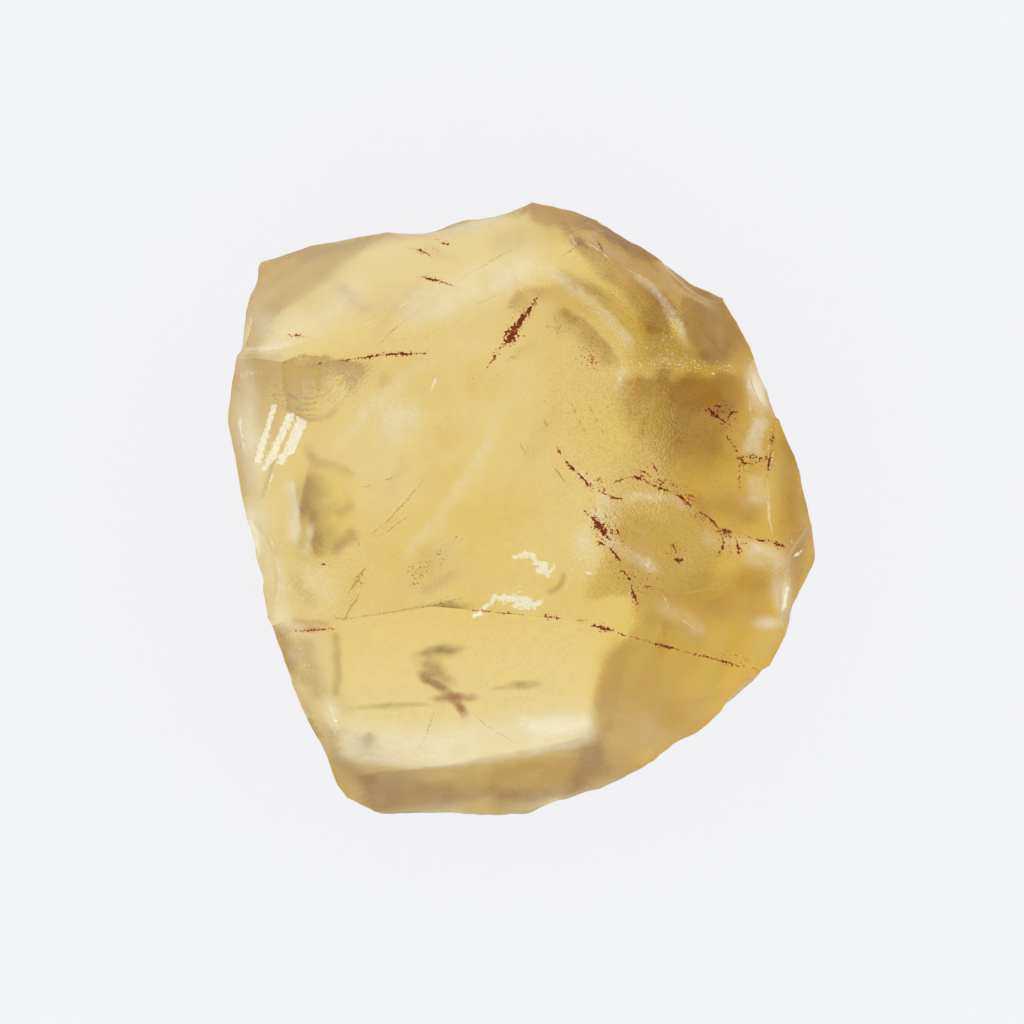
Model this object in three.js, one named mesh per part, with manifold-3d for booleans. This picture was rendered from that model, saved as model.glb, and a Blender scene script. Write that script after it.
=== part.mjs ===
// Rough citrine: one thick, blocky chunk of broken yellow quartz.
// Millimetres, +Z up. The stone rests on a broad flat break at z = 0, centred on the origin.
// Its broad upper face looks up, its clean window face looks to the front (-Y).
import * as THREE from "three";
import { mergeVertices } from "three/addons/utils/BufferGeometryUtils.js";
import Module from "manifold-3d";

// ---- Overall block the faces are broken from ----
const BLANK_WIDTH = 46;
const BLANK_LENGTH = 48;
const BLANK_HEIGHT = 30;

// ---- How each face is cut ----
const CUTTER_SPAN = 70;
const CUTTER_DEPTH = 40;
const BOW_REACH = 9;
const SWELL_PITCH = 5.2;
const COARSE_CELL = 2.2;
const FINE_CELL = 0.65;

// ---- Citrine colour ----
const CITRINE_COLOUR = 0xe3c67c;
const CITRINE_ROUGHNESS = 0.25;

// A fracture face. `at` is a point on it, `heading` the way it looks seen from above
// (0 is +X, 90 is +Y), `tilt` how far it looks up from level, `bow` its bulge in 1/mm
// (below zero the face is hollow) and `swell` the height of its slow waves.
function face(at, heading, tilt, { bow = 0, swell = 0, relief = null } = {}) {
  return { at, heading, tilt, bow, swell, relief };
}

// ---- Faces that look up ----
const UPPER_FACES = {
  broadLeft: face([-11.4, 3.4, 23.7], -166, 83),
  broadRight: face([-2.8, -1.4, 23.8], 2, 84),
  ridgeLeft: face([-8.2, 10.7, 23.6], 108, 60),
  shoulderLeft: face([-8.7, 13.7, 20.5], 112, 35, { bow: 0.003, swell: 0.06 }),
  cornerLeft: face([-15.8, 11.9, 19.0], 121, 36),
  peakSlope: face([2.2, 14.0, 22.2], 66, 46, { bow: 0.004, relief: ropes }),
  rightSlope: face([10.3, 10.9, 18.9], 44, 43, { bow: 0.006, relief: ropes }),
  frontWindow: face([-0.8, -9.7, 20.6], -89, 48),
  frontRight: face([8.4, -11.4, 17.9], -76, 45),
  frontBevel: face([-3.0, -16.7, 12.2], -86, 32, { bow: 0.003, swell: 0.05 }),
  rightFacet: face([13.3, -7.1, 19.1], -52, 57, { bow: 0.003, swell: 0.05 }),
  leftStrip: face([-16.0, 3.8, 21.2], -169, 50, { bow: 0.003, swell: 0.05 }),
  leftFrontCorner: face([-12.4, -10.9, 18.4], -127, 38, { bow: 0.004, swell: 0.04 }),
  frostedLumps: face([9.8, -2.8, 21.5], 16, 68, { bow: 0.003, relief: lumps }),
  rightStrip: face([16.1, 1.8, 19.4], 4, 38, { bow: 0.006, swell: 0.08 }),
};

// The deep hollow on the right of the broad face.
const SCOOP = face([10.4, 4.3, 20.0], 18, 67, { bow: -0.055, swell: 0.05 });

// ---- Steep sides, slightly undercut; the hollow ones are shell-shaped breaks ----
const SIDE_FACES = {
  left: face([-17.25, 2.7, 15.0], -170, -5, { bow: -0.002, swell: 0.14 }),
  leftFront: face([-14.7, -9.4, 15.0], -164, -3, { bow: 0.001, swell: 0.1 }),
  frontLeft: face([-12.5, -15.0, 11.0], -158, -3, { bow: 0.004, swell: 0.1 }),
  frontCorner: face([-10.05, -18.85, 10.0], -122, -4, { bow: 0.004, swell: 0.1 }),
  front: face([-5.5, -19.4, 9.0], -92, -8, { bow: 0.002, swell: 0.12 }),
  frontRight: face([2.35, -18.6, 10.0], -67, -5, { bow: 0.002, swell: 0.14 }),
  rightFront: face([10.45, -13.95, 13.0], -51, -3, { bow: 0.002, swell: 0.16 }),
  rightLow: face([16.62, -6.8, 15.5], -25, -6, { bow: 0.002, swell: 0.14 }),
  right: face([17.2, 1.5, 16.9], 17, -5, { bow: 0.002, swell: 0.12 }),
  rightBack: face([14.0, 10.1, 16.0], 25, -3, { bow: 0.004, swell: 0.14 }),
  backRight: face([8.35, 15.6, 15.5], 60, -6, { bow: 0.002, swell: 0.14 }),
  peak: face([2.4, 18.32, 15.2], 74, -8, { bow: 0.004, swell: 0.1 }),
  back: face([-6.6, 17.6, 11.0], 98, -4, { bow: -0.005, swell: 0.12 }),
  backLeft: face([-14.0, 16.2, 12.5], 104, -5, { bow: 0.004, swell: 0.1 }),
  leftBack: face([-17.42, 10.0, 15.5], 171, -2, { bow: 0.002, swell: 0.12 }),
};

// ---- Underside breaks between the sides and the flat base ----
const UNDER_FACES = {
  left: face([-12.0, -0.5, 0], -176, -48, { bow: 0.003, swell: 0.1 }),
  backLeft: face([-9.6, 8.2, 0], 138, -40, { bow: -0.012, swell: 0.1 }),
  back: face([-0.4, 12.3, 0], 92, -52, { bow: 0.003, swell: 0.1 }),
  backRight: face([7.2, 5.1, 0], 38, -44, { bow: 0.003, swell: 0.1 }),
  right: face([3.9, -4.5, 0], -9, -45, { bow: -0.004, swell: 0.1 }),
  frontRight: face([7.1, -9.6, 0], -52, -50, { bow: 0.003, swell: 0.1 }),
  front: face([-1.1, -13.0, 0], -95, -42, { bow: 0.003, swell: 0.1 }),
  frontLeft: face([-9.3, -9.0, 0], -138, -36, { bow: -0.01, swell: 0.1 }),
};

// ---- Ledges: the side steps in where it lies beyond both breaks ----
const LEDGES = {
  left: [
    face([-15.5, -1.0, 10.0], -171, -7, { swell: 0.08 }),
    face([-17.0, 0.5, 11.5], -70, -62, { swell: 0.08 }),
  ],
  right: [
    face([17.6, -1.5, 10.0], 4, -10, { swell: 0.08 }),
    face([16.5, -2.0, 13.0], 75, -58, { swell: 0.08 }),
  ],
  back: [
    face([-5.5, 16.7, 9.0], 96, -8, { swell: 0.08 }),
    face([-3.0, 17.0, 11.5], 176, -50, { swell: 0.08 }),
  ],
};

// ---- Shell-shaped chips knocked out along the edges ----
// `at` is the middle of the chip, `heading` and `tilt` the way it opens, `width` across
// its rim and `depth` at its middle.
const CHIPS = {
  crescent: { at: [-12.9, 7.2, 23.5], heading: 175, tilt: 72, width: 4.4, depth: 0.4 },
  broadPit: { at: [2.9, -4.2, 23.5], heading: -60, tilt: 80, width: 3.2, depth: 0.25 },
  crestNick: { at: [8.7, 8.6, 22.1], heading: 60, tilt: 55, width: 2.8, depth: 0.4 },
  cornerHollow: { at: [-12.7, -9.7, 19.4], heading: -140, tilt: 42, width: 5.2, depth: 0.5 },
  rightNotch: { at: [14.8, 7.7, 17.2], heading: 20, tilt: 15, width: 3.4, depth: 0.45 },
  rightNick: { at: [17.0, -4.4, 16.2], heading: -12, tilt: 25, width: 4.6, depth: 0.4 },
  leftNotch: { at: [-17.5, 10.6, 18.2], heading: 165, tilt: 20, width: 3.0, depth: 0.35 },
  leftNick: { at: [-16.2, -3.4, 18.6], heading: -168, tilt: 25, width: 4.4, depth: 0.45 },
  frontNick: { at: [-4.7, -19.2, 8.6], heading: -92, tilt: 10, width: 3.2, depth: 0.2 },
  frontRightNick: { at: [13.7, -11.4, 14.4], heading: -40, tilt: 15, width: 3.8, depth: 0.35 },
  cornerNick: { at: [-17.2, 11.5, 17.6], heading: 168, tilt: 18, width: 2.4, depth: 0.3 },
  backNick: { at: [-5.0, 17.9, 13.6], heading: 95, tilt: 20, width: 5.0, depth: 0.3 },
  backRightNick: { at: [10.6, 14.2, 15.6], heading: 52, tilt: 20, width: 3.6, depth: 0.25 },
};

// ---- Rope-like ridges that wind down the back slopes from the peak ----
// `path` holds the four control points of a cubic curve seen from above, `inner` and `outer`
// are how far the ridge reaches to the right and to the left of someone walking down it.
const ROPES = [
  { path: [[2.7, 17.4], [3.8, 12.4], [10.6, 16.0], [8.8, 9.8]], height: 0.42, inner: 1.9, outer: 1.0 },
  { path: [[3.4, 17.5], [4.0, 16.0], [5.2, 15.6], [6.4, 15.0]], height: 0.22, inner: 0.5, outer: 0.6 },
  { path: [[9.2, 13.7], [11.0, 12.8], [11.6, 11.4], [10.6, 9.4]], height: 0.3, inner: 0.9, outer: 1.2 },
];
const ROPE_STEPS = 24;
const ROPE_TAPER = 0.22;

// ---- Rounded lumps of the frosted face: middle x, middle y, radius, height ----
const LUMPS = [
  [8.7, -1.5, 2.5, 0.8],
  [14.4, -4.0, 1.75, 0.5],
  [5.7, -0.6, 1.4, 0.3],
  [12.6, -0.3, 1.25, 0.3],
  [11.2, -4.9, 1.6, -0.3],
];

const wasm = await Module();
wasm.setup();

const radians = THREE.MathUtils.degToRad;

/** Points along a rope with the direction of the curve at each, and how full the rope is there. */
function ropeLine({ path }) {
  const corners = path.map(([x, y]) => new THREE.Vector2(x, y));
  const curve = new THREE.CubicBezierCurve(...corners);
  return Array.from({ length: ROPE_STEPS + 1 }, (_, i) => {
    const t = i / ROPE_STEPS;
    const start = THREE.MathUtils.smoothstep(t, 0, ROPE_TAPER);
    const end = 1 - THREE.MathUtils.smoothstep(t, 1 - ROPE_TAPER, 1);
    return { point: curve.getPoint(t), along: curve.getTangent(t), full: start * end };
  });
}

const ROPE_LINES = ROPES.map(ropeLine);

/** Height of the ridges over the point (x, y): bells across each curve, wider on its inner side. */
function ropes(x, y) {
  return ROPES.reduce((sum, { height, inner, outer }, i) => {
    let nearest = { gap: Infinity };
    for (const { point, along, full } of ROPE_LINES[i]) {
      const gap = Math.hypot(x - point.x, y - point.y);
      if (gap < nearest.gap) {
        const left = along.x * (y - point.y) - along.y * (x - point.x);
        nearest = { gap, full, turns: left / (left > 0 ? outer : inner) };
      }
    }
    return sum + height * nearest.full * Math.exp(-(nearest.turns ** 2));
  }, 0);
}

/** Height of the lumps over the point (x, y): rounded bells that add up. */
function lumps(x, y) {
  return LUMPS.reduce((sum, [midX, midY, radius, height]) => {
    const away = ((x - midX) ** 2 + (y - midY) ** 2) / radius ** 2;
    return sum + height * Math.exp(-away);
  }, 0);
}

/** The slow waves of a broken face, for a face whose phase is `phase`. */
function swells(u, v, phase) {
  const k = (2 * Math.PI) / SWELL_PITCH;
  const long = Math.sin(k * (0.8 * u + 0.45 * v) + phase);
  const cross = Math.sin(k * (-0.5 * u + 1.1 * v) + 2 * phase);
  return 0.6 * long + 0.4 * cross;
}

/** Right, up and outward directions of a face. */
function axesOf(heading, tilt) {
  const h = radians(heading);
  const t = radians(tilt);
  const out = new THREE.Vector3(Math.cos(t) * Math.cos(h), Math.cos(t) * Math.sin(h), Math.sin(t));
  const across = new THREE.Vector3(-Math.sin(h), Math.cos(h), 0);
  const up = new THREE.Vector3().crossVectors(out, across);
  return { across, up, out };
}

/** A closed three.js geometry as a manifold-3d solid. */
function solidOf(geometry) {
  const bare = geometry.clone();
  bare.deleteAttribute("normal");
  bare.deleteAttribute("uv");
  const merged = mergeVertices(bare, 1e-5);
  return new wasm.Manifold(
    new wasm.Mesh({
      numProp: 3,
      vertProperties: new Float32Array(merged.attributes.position.array),
      triVerts: new Uint32Array(merged.index.array),
    }),
  );
}

/** Everything outside one fracture face: a block whose inner side has the face's shape. */
function beyond(fracture) {
  const { at, heading, tilt, bow, swell, relief } = fracture;
  const { across, up, out } = axesOf(heading, tilt);
  const flat = bow === 0 && swell === 0 && relief === null;
  const cell = relief === null ? COARSE_CELL : FINE_CELL;
  const span = relief === null ? CUTTER_SPAN : CUTTER_SPAN / 2;
  const cells = flat ? 1 : Math.ceil(span / cell);
  const block = new THREE.BoxGeometry(span, span, CUTTER_DEPTH, cells, cells, 1);
  const points = block.attributes.position;
  const foot = new THREE.Vector3();
  for (let i = 0; i < points.count; i++) {
    if (points.getZ(i) > 0) {
      points.setZ(i, CUTTER_DEPTH);
      continue;
    }
    const u = points.getX(i);
    const v = points.getY(i);
    const far = u * u + v * v;
    let height = (-0.5 * bow * far) / Math.sqrt(1 + far / BOW_REACH ** 2);
    height += swell * swells(u, v, radians(heading));
    if (relief !== null) {
      foot.set(...at).addScaledVector(across, u).addScaledVector(up, v);
      height += relief(foot.x, foot.y);
    }
    points.setZ(i, height);
  }
  const placed = new THREE.Matrix4().makeBasis(across, up, out).setPosition(...at);
  return solidOf(block.applyMatrix4(placed));
}

/** The ball that knocks out one chip. */
function ballOf({ at, heading, tilt, width, depth }) {
  const { out } = axesOf(heading, tilt);
  const radius = width ** 2 / (8 * depth) + depth / 2;
  const detail = Math.ceil(radius * 1.6);
  const ball = new THREE.IcosahedronGeometry(radius, detail);
  const middle = new THREE.Vector3(...at).addScaledVector(out, radius - depth);
  return solidOf(ball.translate(middle.x, middle.y, middle.z));
}

/** The whole stone: the block less everything beyond its faces, its ledges and its chips. */
function breakStone() {
  const blank = new THREE.BoxGeometry(BLANK_WIDTH, BLANK_LENGTH, BLANK_HEIGHT);
  let stone = solidOf(blank.translate(0, 0, BLANK_HEIGHT / 2));
  const faces = [
    ...Object.values(UPPER_FACES),
    SCOOP,
    ...Object.values(SIDE_FACES),
    ...Object.values(UNDER_FACES),
  ];
  for (const fracture of faces) {
    stone = stone.subtract(beyond(fracture));
  }
  for (const [riser, tread] of Object.values(LEDGES)) {
    stone = stone.subtract(beyond(riser).intersect(beyond(tread)));
  }
  for (const chip of Object.values(CHIPS)) {
    stone = stone.subtract(ballOf(chip));
  }
  return stone;
}

/** A manifold-3d solid as a flat-shaded three.js geometry. */
function geometryOf(solid) {
  const mesh = solid.getMesh();
  const geometry = new THREE.BufferGeometry();
  geometry.setAttribute("position", new THREE.BufferAttribute(mesh.vertProperties, 3));
  geometry.setIndex(new THREE.BufferAttribute(mesh.triVerts, 1));
  const flat = geometry.toNonIndexed();
  flat.computeVertexNormals();
  return flat;
}

const citrine = new THREE.Mesh(
  geometryOf(breakStone()),
  new THREE.MeshStandardMaterial({
    color: CITRINE_COLOUR,
    roughness: CITRINE_ROUGHNESS,
    metalness: 0,
    flatShading: true,
  }),
);
citrine.name = "citrine";

const group = new THREE.Group();
group.name = "rough_citrine";
group.add(citrine);

export default group;
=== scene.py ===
"""Rough citrine: a blocky, see-through lump of broken golden quartz on a pale table.

The stone's surface is one closed skin. It is the boundary of the space that lies inside every
fracture face at once, worked out with numpy along rays from a point inside the stone. Rusty
cracks, hair lines, haze, stains, painted shade and painted glints belong to the skin's finish,
which finds them by numbers that the mesh carries; the haze, pale lines and glints glow a little,
as painted light. Only the veils inside the stone are thin pieces of their own.
"""

from __future__ import annotations

import itertools
import logging
from dataclasses import dataclass, field
from enum import Enum, IntEnum

import bpy
import numpy as np
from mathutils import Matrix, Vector


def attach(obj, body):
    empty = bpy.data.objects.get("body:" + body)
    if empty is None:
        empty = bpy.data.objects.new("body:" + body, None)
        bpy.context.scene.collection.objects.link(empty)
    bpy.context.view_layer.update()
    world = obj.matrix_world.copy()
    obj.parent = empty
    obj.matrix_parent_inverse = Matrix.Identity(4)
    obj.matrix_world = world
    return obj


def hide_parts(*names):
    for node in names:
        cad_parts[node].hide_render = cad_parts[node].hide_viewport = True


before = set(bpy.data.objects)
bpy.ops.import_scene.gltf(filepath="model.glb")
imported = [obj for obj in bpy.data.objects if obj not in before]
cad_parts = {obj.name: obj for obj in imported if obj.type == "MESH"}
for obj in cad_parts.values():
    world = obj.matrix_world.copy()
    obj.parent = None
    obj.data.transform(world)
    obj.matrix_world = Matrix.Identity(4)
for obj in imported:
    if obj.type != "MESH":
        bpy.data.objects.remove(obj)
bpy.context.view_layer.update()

LOG = logging.getLogger("citrine")
MM = 0.001
BODY = "root"
SLOT = "citrine"
LATTICE = 32
BOW_REACH_MM = 9.0
SWELL_PITCH_MM = 5.2
RIPPLE_EYE_MM = (-13.3, 8.9, 23.6)
Array = np.ndarray
Spot = tuple[float, float]
Place = tuple[float, float, float]
Path = tuple[Spot, Spot, Spot, Spot]
Colour = tuple[float, float, float, float]


# ---- Noise and small helpers ----


def unit(vectors: Array) -> Array:
    """Rows of an array brought to length one."""
    length = np.linalg.norm(vectors, axis=-1, keepdims=True)
    return vectors / np.maximum(length, 1e-12)


def ease(value: Array, start: float, end: float) -> Array:
    """Rise from 0 at start to 1 at end along 3t^2 - 2t^3.

    Args:
        value: what rises.
        start: the value at which the rise begins.
        end: the value at which it is complete.

    Returns:
        The eased rise, between 0 and 1.
    """
    t = np.clip((value - start) / (end - start), 0.0, 1.0)
    return t * t * (3.0 - 2.0 * t)


class Noise(IntEnum):
    """Smooth noise: random heights on a cubic lattice, mixed with eased weights.

    Each member reads a lattice of its own, and its value is the seed of the random heights.
    """

    CRACK_WANDER = 5
    CRACK_BEADS = 6
    TORN_SIDE = 7
    EDGE_BEADS = 8
    STROKE_BORDER = 9
    EDGE_WANDER = 10
    GRAIN = 11
    STREAKS = 12
    WAVES = 13
    BANDS = 14
    FROST = 15
    RIPPLES = 16
    CLOUD = 17
    FINE = 18
    BLOOM = 19
    VEIL_RIM = 21
    OUTLINE = 22

    def at(self, points: Array, pitch: float) -> Array:
        """Noise at some points.

        The height is the sum, over the eight corners of a point's lattice cell, of the corner's
        random height times the product of the eased distances from the opposite corner. A number
        that a caller adds to its points only picks another part of the lattice.

        Args:
            points: an (n, 3) array in millimetres.
            pitch: the lattice's spacing in millimetres.

        Returns:
            Heights between -1 and 1.
        """
        heights = np.random.default_rng(self.value).uniform(-1.0, 1.0, (LATTICE,) * 3)
        cell = np.floor(points / pitch).astype(int)
        t = points / pitch - cell
        t = t * t * (3.0 - 2.0 * t)
        total = np.zeros(len(points))
        for corner in itertools.product((0, 1), repeat=3):
            index = (cell + np.array(corner)) % LATTICE
            weight = np.where(np.array(corner) == 1, t, 1.0 - t).prod(axis=1)
            total += weight * heights[tuple(index.T)]
        return total

    def cloud(self, points: Array, pitch: float, octaves: int = 3) -> Array:
        """Layers of the noise, each half as wide and half as high as the one before."""
        layers = [self.at(points + 7.3 * k, pitch / 2**k) / 2**k for k in range(octaves)]
        return np.sum(layers, axis=0) / (2.0 - 2.0 ** (1 - octaves))


# ---- Shape of the stone, in millimetres ----


class Relief(Enum):
    """What stands on a fracture face besides its bow and its slow swell."""

    NONE = "none"
    ROPES = "ropes"
    LUMPS = "lumps"


@dataclass(frozen=True)
class Rope:
    """One rope-like ridge that winds down from the peak.

    `path` holds the four control points of a cubic curve seen from above; `inner` and `outer`
    are how far the ridge reaches to the right and to the left of someone walking down it.
    """

    path: Path
    height: float
    inner: float
    outer: float
    taper: float = 0.22

    def line(self, steps: int) -> tuple[Array, Array, Array]:
        """Points of the cubic Bezier curve, its direction at each, and how full the rope is."""
        t = np.linspace(0.0, 1.0, steps + 1)[:, None]
        a, b, c, d = (np.array(corner) for corner in self.path)
        points = (1 - t) ** 3 * a + 3 * t * (1 - t) ** 2 * b + 3 * t**2 * (1 - t) * c + t**3 * d
        along = (1 - t) ** 2 * (b - a) + 2 * t * (1 - t) * (c - b) + t**2 * (d - c)
        full = ease(t[:, 0], 0.0, self.taper) * (1 - ease(t[:, 0], 1 - self.taper, 1.0))
        return points, unit(along), full


@dataclass(frozen=True)
class Ropes:
    """The ridges of the back slopes."""

    ropes: tuple[Rope, ...] = (
        Rope(((2.7, 17.4), (3.8, 12.4), (10.6, 16.0), (8.8, 9.8)), 0.42, 1.9, 1.0),
        Rope(((3.4, 17.5), (4.0, 16.0), (5.2, 15.6), (6.4, 15.0)), 0.22, 0.5, 0.6),
        Rope(((9.2, 13.7), (11.0, 12.8), (11.6, 11.4), (10.6, 9.4)), 0.3, 0.9, 1.2),
    )
    steps: int = 24
    reach: float = 2.5

    def at(self, x: Array, y: Array) -> Array:
        """Height of the ridges: bells exp(-(aside / width)^2) across each curve, added up.

        `aside` is the distance to the curve's nearest tangent, and the width is the rope's inner
        or outer one by the side that (x, y) lies on. Beyond a few widths the bell is nought.

        Args:
            x, y: places seen from above, as arrays.

        Returns:
            A height for each.
        """
        height = np.zeros_like(x)
        for rope in self.ropes:
            points, along, full = rope.line(self.steps)
            margin = self.reach * max(rope.inner, rope.outer)
            low, high = points.min(axis=0) - margin, points.max(axis=0) + margin
            near = (x > low[0]) & (x < high[0]) & (y > low[1]) & (y < high[1])
            picked = np.flatnonzero(near)
            away_x = x[picked, None] - points[:, 0]
            away_y = y[picked, None] - points[:, 1]
            nearest = np.hypot(away_x, away_y).argmin(axis=1)
            row = np.arange(len(picked))
            dx, dy = along[nearest].T
            left = dx * away_y[row, nearest] - dy * away_x[row, nearest]
            width = np.where(left > 0, rope.outer, rope.inner)
            bell = np.exp(-((left / width) ** 2))
            height[picked] += rope.height * full[nearest] * bell
        return height


@dataclass(frozen=True)
class Lumps:
    """Rounded lumps of the frosted face: middle x, middle y, radius and height of each."""

    bells: tuple[tuple[float, float, float, float], ...] = (
        (8.7, -1.5, 2.5, 0.8),
        (14.4, -4.0, 1.75, 0.5),
        (5.7, -0.6, 1.4, 0.3),
        (12.6, -0.3, 1.25, 0.3),
        (11.2, -4.9, 1.6, -0.3),
    )

    def at(self, x: Array, y: Array) -> Array:
        """Height of the lumps: Gaussian bells that add up."""
        return sum(
            height * np.exp(-((x - mid_x) ** 2 + (y - mid_y) ** 2) / radius**2)
            for mid_x, mid_y, radius, height in self.bells
        )


@dataclass(frozen=True)
class Fracture:
    """One broken face of the stone.

    `at` is a point on it, `heading` the way it looks seen from above (0 is +X, 90 is +Y),
    `tilt` how far it looks up from level, `bow` its bulge in 1/mm (below zero it is hollow),
    `swell` the height of its slow waves, `grain` the height of its fine unevenness and
    `frost` how matt it is, from 0 to 1.
    """

    at: Place
    heading: float
    tilt: float
    bow: float = 0.0
    swell: float = 0.0
    relief: Relief = Relief.NONE
    grain: float = 0.01
    frost: float = 0.1

    def axes(self) -> tuple[Array, Array, Array]:
        """Directions across, up and out of the face."""
        h, t = np.radians(self.heading), np.radians(self.tilt)
        out = np.array([np.cos(t) * np.cos(h), np.cos(t) * np.sin(h), np.sin(t)])
        across = np.array([-np.sin(h), np.cos(h), 0.0])
        return across, np.cross(out, across), out

    def beyond(self, points: Array) -> Array:
        """How far points lie outside the face; below zero is inside the stone.

        It is the height over the face's plane less the face's own relief: half the bow times the
        squared distance from `at`, flattening to a cone past the reach, plus two crossed sines
        for the swell, plus ridges or lumps read at the point's foot on the plane.

        Args:
            points: an (n, 3) array.

        Returns:
            n distances.
        """
        across, up, out = self.axes()
        away = points - np.array(self.at)
        u, v, w = away @ across, away @ up, away @ out
        far = u * u + v * v
        height = -0.5 * self.bow * far / np.sqrt(1.0 + far / BOW_REACH_MM**2)
        if self.swell:
            k, phase = 2 * np.pi / SWELL_PITCH_MM, np.radians(self.heading)
            long = np.sin(k * (0.8 * u + 0.45 * v) + phase)
            cross = np.sin(k * (-0.5 * u + 1.1 * v) + 2 * phase)
            height = height + self.swell * (0.6 * long + 0.4 * cross)
        if self.relief is not Relief.NONE:
            foot = points - w[:, None] * out
            form = Ropes() if self.relief is Relief.ROPES else Lumps()
            height = height + form.at(foot[:, 0], foot[:, 1])
        return w - height


@dataclass(frozen=True)
class Ledge:
    """A step: the stone ends where a point is beyond both of its breaks."""

    riser: Fracture
    tread: Fracture
    grain: float = 0.05
    frost: float = 0.4

    def beyond(self, points: Array) -> Array:
        """The lesser of how far points lie outside the riser and outside the tread."""
        return np.minimum(self.riser.beyond(points), self.tread.beyond(points))


@dataclass(frozen=True)
class Chip:
    """A shell-shaped chip: a ball bites `depth` into the surface and leaves a rim `width` across."""

    at: Place
    heading: float
    tilt: float
    width: float
    depth: float
    grain: float = 0.02
    frost: float = 0.55

    def beyond(self, points: Array) -> Array:
        """The ball's radius less the distance from its middle."""
        radius = self.width**2 / (8 * self.depth) + self.depth / 2
        _, _, out = Fracture(self.at, self.heading, self.tilt).axes()
        middle = np.array(self.at) + (radius - self.depth) * out
        return radius - np.linalg.norm(points - middle, axis=1)


Cut = Fracture | Ledge | Chip


def upper_faces() -> dict[str, Fracture]:
    """The faces that look up."""
    ropes, lumps = Relief.ROPES, Relief.LUMPS
    return {
        "broad_left": Fracture((-11.4, 3.4, 23.7), -166, 83, 0, 0, grain=0.02, frost=0.16),
        "broad_right": Fracture((-2.8, -1.4, 23.8), 2, 84, 0, 0, grain=0.015, frost=0.1),
        "ridge_left": Fracture((-8.2, 10.7, 23.6), 108, 60, 0, 0, grain=0.015, frost=0.12),
        "shoulder_left": Fracture((-8.7, 13.7, 20.5), 112, 35, 0.003, 0.06, frost=0.34),
        "corner_left": Fracture((-15.8, 11.9, 19.0), 121, 36, 0, 0, grain=0.04, frost=0.45),
        "peak_slope": Fracture((2.2, 14.0, 22.2), 66, 46, 0.004, 0, ropes, 0.03, 0.2),
        "right_slope": Fracture((10.3, 10.9, 18.9), 44, 43, 0.006, 0, ropes, 0.03, 0.2),
        "front_window": Fracture((-0.8, -9.7, 20.6), -89, 48, 0, 0, grain=0.0, frost=0.03),
        "front_right": Fracture((8.4, -11.4, 17.9), -76, 45, 0, 0, grain=0.0, frost=0.3),
        "front_bevel": Fracture((-3.0, -16.7, 12.2), -86, 32, 0.003, 0.05, frost=0.5),
        "right_facet": Fracture((13.3, -7.1, 19.1), -52, 57, 0.003, 0.05, grain=0.03, frost=0.2),
        "left_strip": Fracture((-16.0, 3.8, 21.2), -169, 50, 0.003, 0.05, grain=0.04, frost=0.6),
        "left_corner": Fracture((-12.4, -10.9, 18.4), -127, 38, 0.004, 0.04, grain=0.04, frost=0.6),
        "frosted_lumps": Fracture((9.8, -2.8, 21.5), 16, 68, 0.003, 0, lumps, 0.07, 0.5),
        "right_strip": Fracture((16.1, 1.8, 19.4), 4, 38, 0.006, 0.08, grain=0.08, frost=0.45),
        "scoop": Fracture((10.4, 4.3, 20.0), 18, 67, -0.055, 0.05, grain=0.03, frost=0.2),
    }


def side_faces() -> dict[str, Fracture]:
    """The steep sides, slightly undercut."""
    rough = {"grain": 0.05, "frost": 0.7}
    return {
        "left": Fracture((-17.25, 2.7, 15.0), -170, -5, -0.002, 0.14, **rough),
        "left_front": Fracture((-14.7, -9.4, 15.0), -164, -3, 0.001, 0.1, **rough),
        "front_left": Fracture((-12.5, -15.0, 11.0), -158, -3, 0.004, 0.1, **rough),
        "front_corner": Fracture((-10.05, -18.85, 10.0), -122, -4, 0.004, 0.1, **rough),
        "front": Fracture((-5.5, -19.4, 9.0), -92, -8, 0.002, 0.12, **rough),
        "front_right": Fracture((2.35, -18.6, 10.0), -67, -5, 0.002, 0.14, **rough),
        "right_front": Fracture((10.45, -13.95, 13.0), -51, -3, 0.002, 0.16, **rough),
        "right_low": Fracture((16.62, -6.8, 15.5), -25, -6, 0.002, 0.14, **rough),
        "right": Fracture((17.2, 1.5, 16.9), 17, -5, 0.002, 0.12, **rough),
        "right_back": Fracture((14.0, 10.1, 16.0), 25, -3, 0.004, 0.14, **rough),
        "back_right": Fracture((8.35, 15.6, 15.5), 60, -6, 0.002, 0.14, **rough),
        "peak": Fracture((2.4, 18.32, 15.2), 74, -8, 0.004, 0.1, **rough),
        "back": Fracture((-6.6, 17.6, 11.0), 98, -4, -0.005, 0.12, **rough),
        "back_left": Fracture((-14.0, 16.2, 12.5), 104, -5, 0.004, 0.1, **rough),
        "left_back": Fracture((-17.42, 10.0, 15.5), 171, -2, 0.002, 0.12, **rough),
    }


def under_faces() -> dict[str, Fracture]:
    """The undersides between the sides and the flat base, and the base itself."""
    rough = {"swell": 0.1, "grain": 0.04, "frost": 0.7}
    return {
        "left": Fracture((-12.0, -0.5, 0.0), -176, -48, 0.003, **rough),
        "back_left": Fracture((-9.6, 8.2, 0.0), 138, -40, -0.012, **rough),
        "back": Fracture((-0.4, 12.3, 0.0), 92, -52, 0.003, **rough),
        "back_right": Fracture((7.2, 5.1, 0.0), 38, -44, 0.003, **rough),
        "right": Fracture((3.9, -4.5, 0.0), -9, -45, -0.004, **rough),
        "front_right": Fracture((7.1, -9.6, 0.0), -52, -50, 0.003, **rough),
        "front": Fracture((-1.1, -13.0, 0.0), -95, -42, 0.003, **rough),
        "front_left": Fracture((-9.3, -9.0, 0.0), -138, -36, -0.01, **rough),
        "base": Fracture((0.0, 0.0, 0.0), 0, -90, grain=0.0, frost=0.5),
    }


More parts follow.
